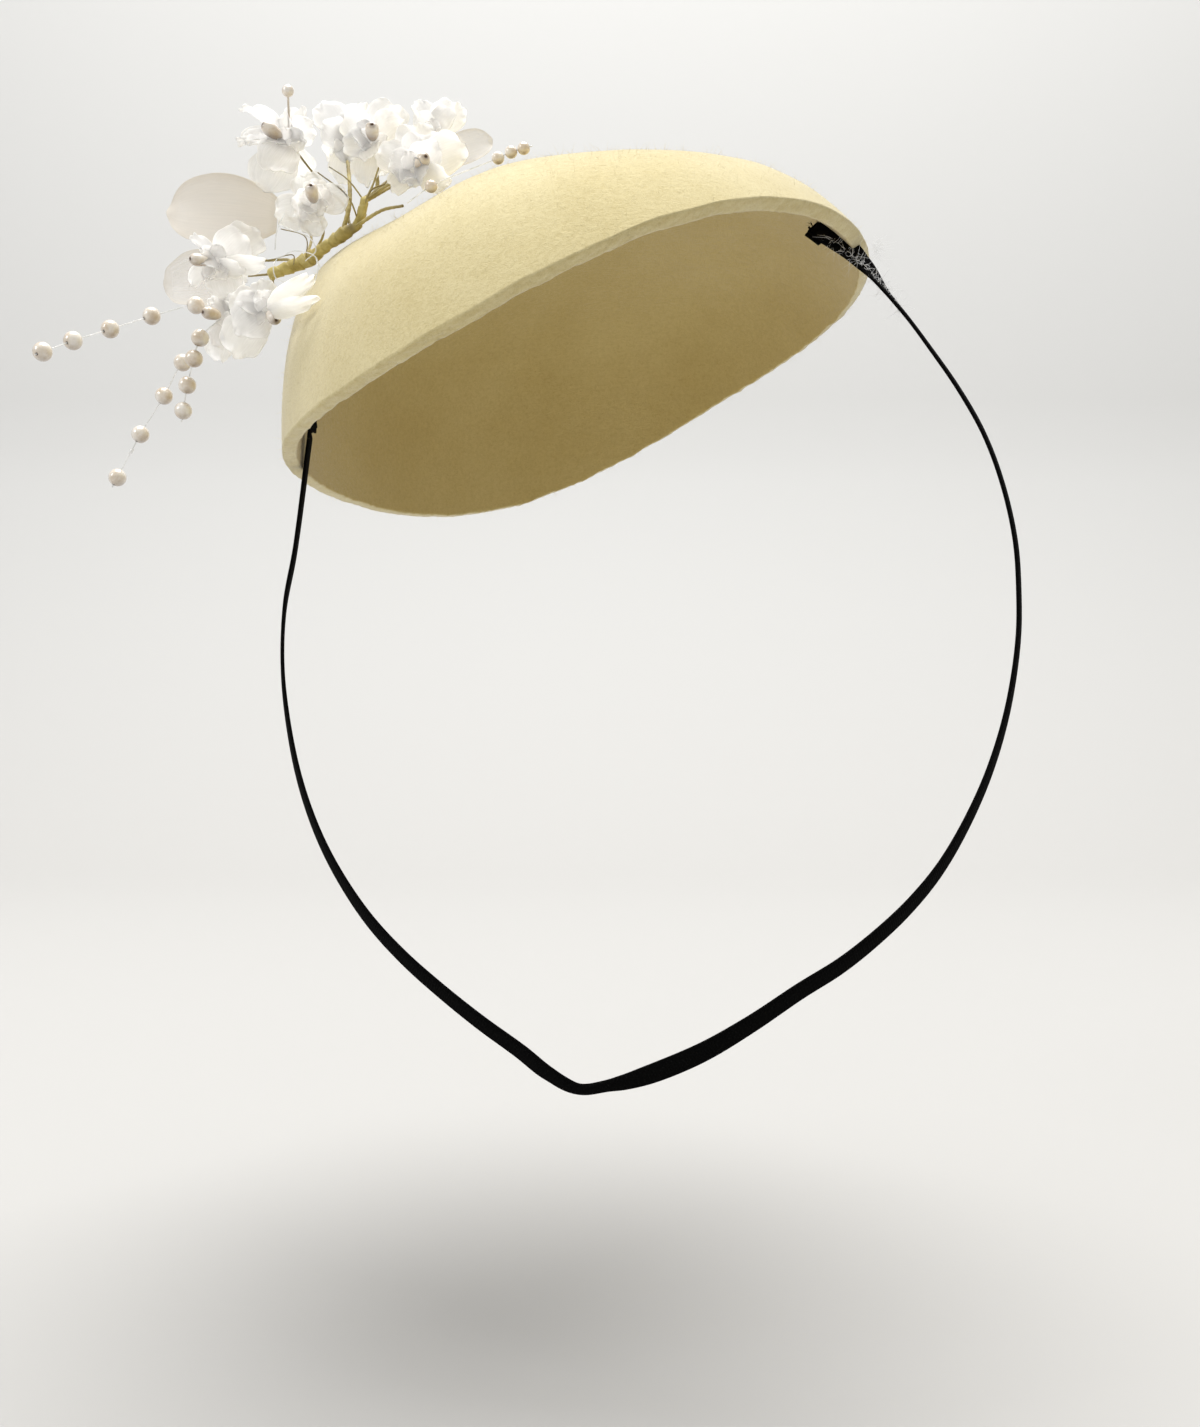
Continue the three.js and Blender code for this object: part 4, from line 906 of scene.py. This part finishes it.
# Stamens: long rice pearls glued by one end into a blossom, with the dark mouth of the drill hole
# at the free end. One stands taller, as a small round pearl on a thin stalk.
STAMENS = {
    "upper_left": ("blossom_upper_left", 156, 40), "crest": ("blossom_crest", 60, 74),
    "right": ("blossom_right", 10, 62), "inner": ("blossom_inner", 80, 70),
    "left": ("blossom_left", 190, 44), "low_left": ("blossom_low_left", 190, 54),
    "low_right": ("blossom_low_right", 314, 46),
}
STAMEN_RADIUS = 1.45 * MM
STAMEN_LENGTH = 5.2 * MM
SMALL_PEARL_DIAMETER = 2.6 * MM
STALK_RADIUS = 0.4 * MM
STALK_LENGTH = 7.2 * MM

lustre, tree, shader = new_material("pearl_lustre", (0.72, 0.63, 0.52), Roughness=0.25,
                                    Coat_Weight=1.0, Coat_Roughness=0.06, Coat_IOR=1.7)
fibre = matted(tree, 320.0, 900.0)
nacre = ramp(tree, fibre.outputs["Cloud"], [
    (0.35, (0.68, 0.56, 0.42)), (0.55, (0.86, 0.79, 0.69)), (0.72, (0.96, 0.93, 0.89))])
colour_by(tree, shader, blend(tree, "MIX", tone_of(tree), (0.10, 0.045, 0.015, 1), nacre))
raise_by(tree, shader, fibre.outputs["Cloud"], 0.12, 0.1 * MM)

# How much darker each pearl is painted towards its lower side: painted shade
UNDERSIDE_PAINTED_SHADE = 0.58


def lathe(foot, way, heights, radii, tones, sides=28, waver=0.0, seed=0, joined=False):
    """A turned body: a ring of each radius at each height above the foot, along way. waver bends
    each ring's radius by a slow sine of the turn, so that no two are quite alike. The tone falls
    with the square of the depth below the middle: painted shade, darker towards the lower side.
    Joined, the last ring meets the first."""
    way = unit(np.asarray(way, float))
    side = unit(np.cross(way, [0.31, 0.87, 0.38]))
    over = np.cross(way, side)
    turn = turns(sides)[None, :]
    reach = np.asarray(radii)[:, None] * (1 + waver * np.sin(2 * turn + seed) + waver * 0.6 *
                                          np.sin(3 * turn + 2 * seed))
    rings = ring_round(foot + way * np.asarray(heights)[:, None, None], side, over, reach, turn)
    # Painted shade: the tone falls with the depth below the middle of the body
    low = np.clip((rings.mean((0, 1))[2] - rings[..., 2]) / np.max(radii), 0, 1)
    return skin(rings, tone=np.asarray(tones)[:, None] * (1 - UNDERSIDE_PAINTED_SHADE * low**2),
                joined=joined)


rice_up = np.array([0, 0.03, 0.10, 0.22, 0.36, 0.52, 0.68, 0.82, 0.92, 0.975, 0.985, 0.95, 0.90])
rice_out = np.array([0.05, 0.34, 0.60, 0.80, 0.92, 0.99, 1.0, 0.90, 0.66, 0.36, 0.24, 0.16, 0.10])
rice_tone = np.array([0.6, 0.7, 0.85, 1, 1, 1, 1, 1, 0.95, 0.55, 0.2, 0.0, 0.0])
for k, (name, (blossom, turn, lift)) in enumerate(STAMENS.items()):
    way = petal_axes(turn, lift)[0]
    foot = spray_point(BLOSSOMS[blossom][0]) + way * (HUB_RADIUS + SEAT_GAP)
    rice = lathe(foot, way, rice_up * STAMEN_LENGTH, rice_out * STAMEN_RADIUS, rice_tone,
                 waver=0.03, seed=k)
    make_piece(f"rice_pearl_{name}", [rice], lustre, [f"stamen_{name}"])

way = petal_axes(87, 24)[0]
foot = spray_point(BLOSSOMS["blossom_upper_left"][0]) + way * (HUB_RADIUS + SEAT_GAP)
bead_rise = np.radians(np.linspace(-72, 84, 14))
tall = lathe(foot, way,
             np.concatenate([[0, STALK_LENGTH],
                             STALK_LENGTH + (1 + np.sin(bead_rise)) * SMALL_PEARL_DIAMETER / 2]),
             np.concatenate([[STALK_RADIUS * 0.6] * 2,
                             np.cos(bead_rise) * SMALL_PEARL_DIAMETER / 2]), np.full(16, 1.0))
make_piece("stalk_pearl", [tall], lustre, ["stamen_tall"])

# Pearl strands: drilled champagne pearls spaced out on clear nylon, which stands out stiffly from
# the blossoms. The lowest strand has a crimp between its last two pearls.
PEARL_DIAMETER = 4.0 * MM
THREAD_DIAMETER = 0.5 * MM
NYLON_RADIUS = 0.13 * MM
PEARL_BORE = THREAD_DIAMETER + 3 * SEAT_GAP
STRANDS = {
    "left": ("blossom_low_left", 116, -25, PEARL_DIAMETER, [
        (-0.875, -0.414, -0.155), (-1.093, -0.302, -0.249), (-1.240, -0.052, -0.391),
        (-1.358, 0.173, -0.514), (-1.430, 0.398, -0.631)]),
    "low": ("blossom_low_left", 216, -58, PEARL_DIAMETER, [
        (-0.978, -0.502, -0.461), (-1.085, -0.502, -0.654), (-1.205, -0.452, -0.886),
        (-1.303, -0.352, -1.151)]),
    "inner": ("blossom_low_left", 222, 50, PEARL_DIAMETER, [
        (-0.830, -0.339, -0.361), (-0.868, -0.352, -0.476), (-0.913, -0.377, -0.621),
        (-0.940, -0.389, -0.764)]),
    "crown": (None, 30, 10, SMALL_PEARL_DIAMETER, [
        (0.572, 0.428, 0.209), (0.915, 0.423, 0.356), (0.982, 0.428, 0.384),
        (1.047, 0.438, 0.399)]),
}
CRIMP_SHARE = 0.40
# How wide a pearl's mouth looks beside the bore that its solid leaves free
MOUTH_SHARE = 0.42

nylon, tree, shader = new_material("clear_nylon", (0.90, 0.91, 0.90), Roughness=0.12, IOR=1.5,
                                   Alpha=0.55)
glints = node(tree, "ShaderNodeTexNoise", Scale=900.0,
              Vector=node(tree, "ShaderNodeTexCoord").outputs["Object"])
colour_by(tree, shader, ramp(tree, glints.outputs["Fac"], [
    (0.4, (0.80, 0.82, 0.80)), (0.6, (1, 1, 1))]))


def drilled_pearl(centre, way, diameter, seed):
    """A pearl with a bore: outer rings from mouth to mouth, back through the bore, joined up."""
    radius, bore = diameter / 2, PEARL_BORE / 2 * MOUTH_SHARE
    mouth = math.acos(bore / radius)
    rise = np.linspace(-mouth, mouth, 22)
    heights = np.concatenate([radius * np.sin(rise), np.linspace(0.97, -0.97, 4) * radius
                              * math.sin(mouth)])
    radii = np.concatenate([radius * np.cos(rise), np.full(4, bore * 0.85)])
    tones = np.concatenate([[0.6, 0.95], np.ones(18), [0.95, 0.6], np.zeros(4)])
    return lathe(centre, way, heights, radii, tones, 30, 0.012, seed, joined=True)


loops = []
for places in NYLON_LOOPS:
    line, along = smooth_line(spray_point(places), 0.3 * MM)
    loops.append(tube(line, along, NYLON_RADIUS, 8))
make_piece("nylon_loops", loops, nylon)

for name, (blossom, turn, lift, diameter, places) in STRANDS.items():
    pearls = spray_point(places)
    leave = petal_axes(turn, lift)[0]
    hub = spray_point(BLOSSOMS[blossom][0] if blossom else WIRE_END)
    clear = (HUB_RADIUS if blossom else WIRE_RADIUS) + SEAT_GAP + THREAD_DIAMETER / 2
    tail = pearls[-1] + unit(pearls[-1] - pearls[-2]) * (diameter / 2 + 2 * SEAT_GAP)
    line, along = smooth_line(np.vstack([hub + leave * clear, pearls, tail]), 0.35 * MM)
    ways = unit(np.gradient(line, axis=0))
    nearest = np.argmin(np.linalg.norm(line[:, None] - pearls[None], axis=-1), axis=0)
    make_piece(f"nylon_{name}", [tube(line, along, NYLON_RADIUS, 10)], nylon,
               [f"thread_{name}"])
    beads = [drilled_pearl(centre, ways[spot], diameter, k + 1.7)
             for k, (centre, spot) in enumerate(zip(pearls, nearest))]
    make_piece(f"pearls_{name}", beads, lustre,
               [f"pearl_{name}_{k + 1}" for k in range(len(beads))])
    if name == "low":
        spot = int(nearest[2] + CRIMP_SHARE * (nearest[3] - nearest[2]))
        crimp = lathe(line[spot], ways[spot], np.array([-0.7, -0.5, 0.5, 0.7]) * MM,
                      np.array([0.32, 0.42, 0.42, 0.32]) * MM, np.ones(4), 16)
        make_piece("strand_crimp", [crimp], nylon)

# Floor, backdrop and light: a sweep of pale paper behind and below, under one large soft window
# overhead, with a small lamp low on the left and a wash of light down the backdrop.
FLOOR_LEVEL = -252 * MM
SWEEP_NEAR, SWEEP_FAR, SWEEP_HIGH, SWEEP_HALF = -1.6, 1.3, 1.8, 3.0
paper, tree, shader = new_material("pale_paper", (0.56, 0.56, 0.55), Roughness=0.9)
height = node(tree, "ShaderNodeSeparateXYZ",
              Vector=node(tree, "ShaderNodeTexCoord").outputs["Object"]).outputs["Z"]
rise = node(tree, "ShaderNodeMapRange", Value=height, i1=FLOOR_LEVEL, i2=FLOOR_LEVEL + 0.4)
colour_by(tree, shader, ramp(tree, rise.outputs[0], [
    (0.0, (0.46, 0.455, 0.445)), (1.0, (0.56, 0.56, 0.553))]))
arc = np.linspace(0, np.pi / 2, 14)
sweep_y = np.concatenate([[SWEEP_NEAR], SWEEP_FAR - 0.5 + 0.5 * np.sin(arc), [SWEEP_FAR]])
sweep_z = FLOOR_LEVEL + np.concatenate([[0], 0.5 - 0.5 * np.cos(arc), [SWEEP_HIGH]])
sweep_x = np.array([-SWEEP_HALF, SWEEP_HALF])
sweep = np.stack(np.broadcast_arrays(sweep_x[None], sweep_y[:, None], sweep_z[:, None]), -1)
at = np.arange(len(sweep_y) * 2).reshape(-1, 2)
backdrop_mesh = bpy.data.meshes.new("backdrop")
backdrop_mesh.from_pydata(sweep.reshape(-1, 3), [], np.stack(
    [at[:-1, 0], at[:-1, 1], at[1:, 1], at[1:, 0]], -1).tolist())
backdrop_mesh.shade_smooth()
backdrop_mesh.materials.append(paper)
backdrop = bpy.data.objects.new("backdrop", backdrop_mesh)
bpy.context.scene.collection.objects.link(backdrop)


def soft_light(name, place, size, power, colour, target=(-0.02, 0, -0.02)):
    """A square area light that shines from its place at the target, at first the crown."""
    data = bpy.data.lights.new(name, "AREA")
    data.size = size
    data.energy = power
    data.color = colour
    light = bpy.data.objects.new(name, data)
    light.location = place
    aim = Vector(place) - Vector(target)
    light.rotation_euler = aim.to_track_quat("Z", "Y").to_euler()
    bpy.context.scene.collection.objects.link(light)


soft_light("window", (0.15, 0.20, 2.40), 1.8, 68, (1.0, 0.99, 0.97))
soft_light("room", (-1.40, -0.70, 0.70), 0.6, 7.5, (0.99, 0.99, 1.0))
soft_light("wall_wash", (0.0, 0.20, 1.60), 1.4, 16, (1.0, 1.0, 0.99), (0.0, 1.3, -0.2))
bpy.context.scene.view_settings.view_transform = "Standard"
world = bpy.data.worlds.new("studio")
world.use_nodes = True
room_glow = world.node_tree.nodes["Background"]
room_glow.inputs["Color"].default_value = (1.0, 0.99, 0.975, 1)
room_glow.inputs["Strength"].default_value = 0.50
bpy.context.scene.world = world
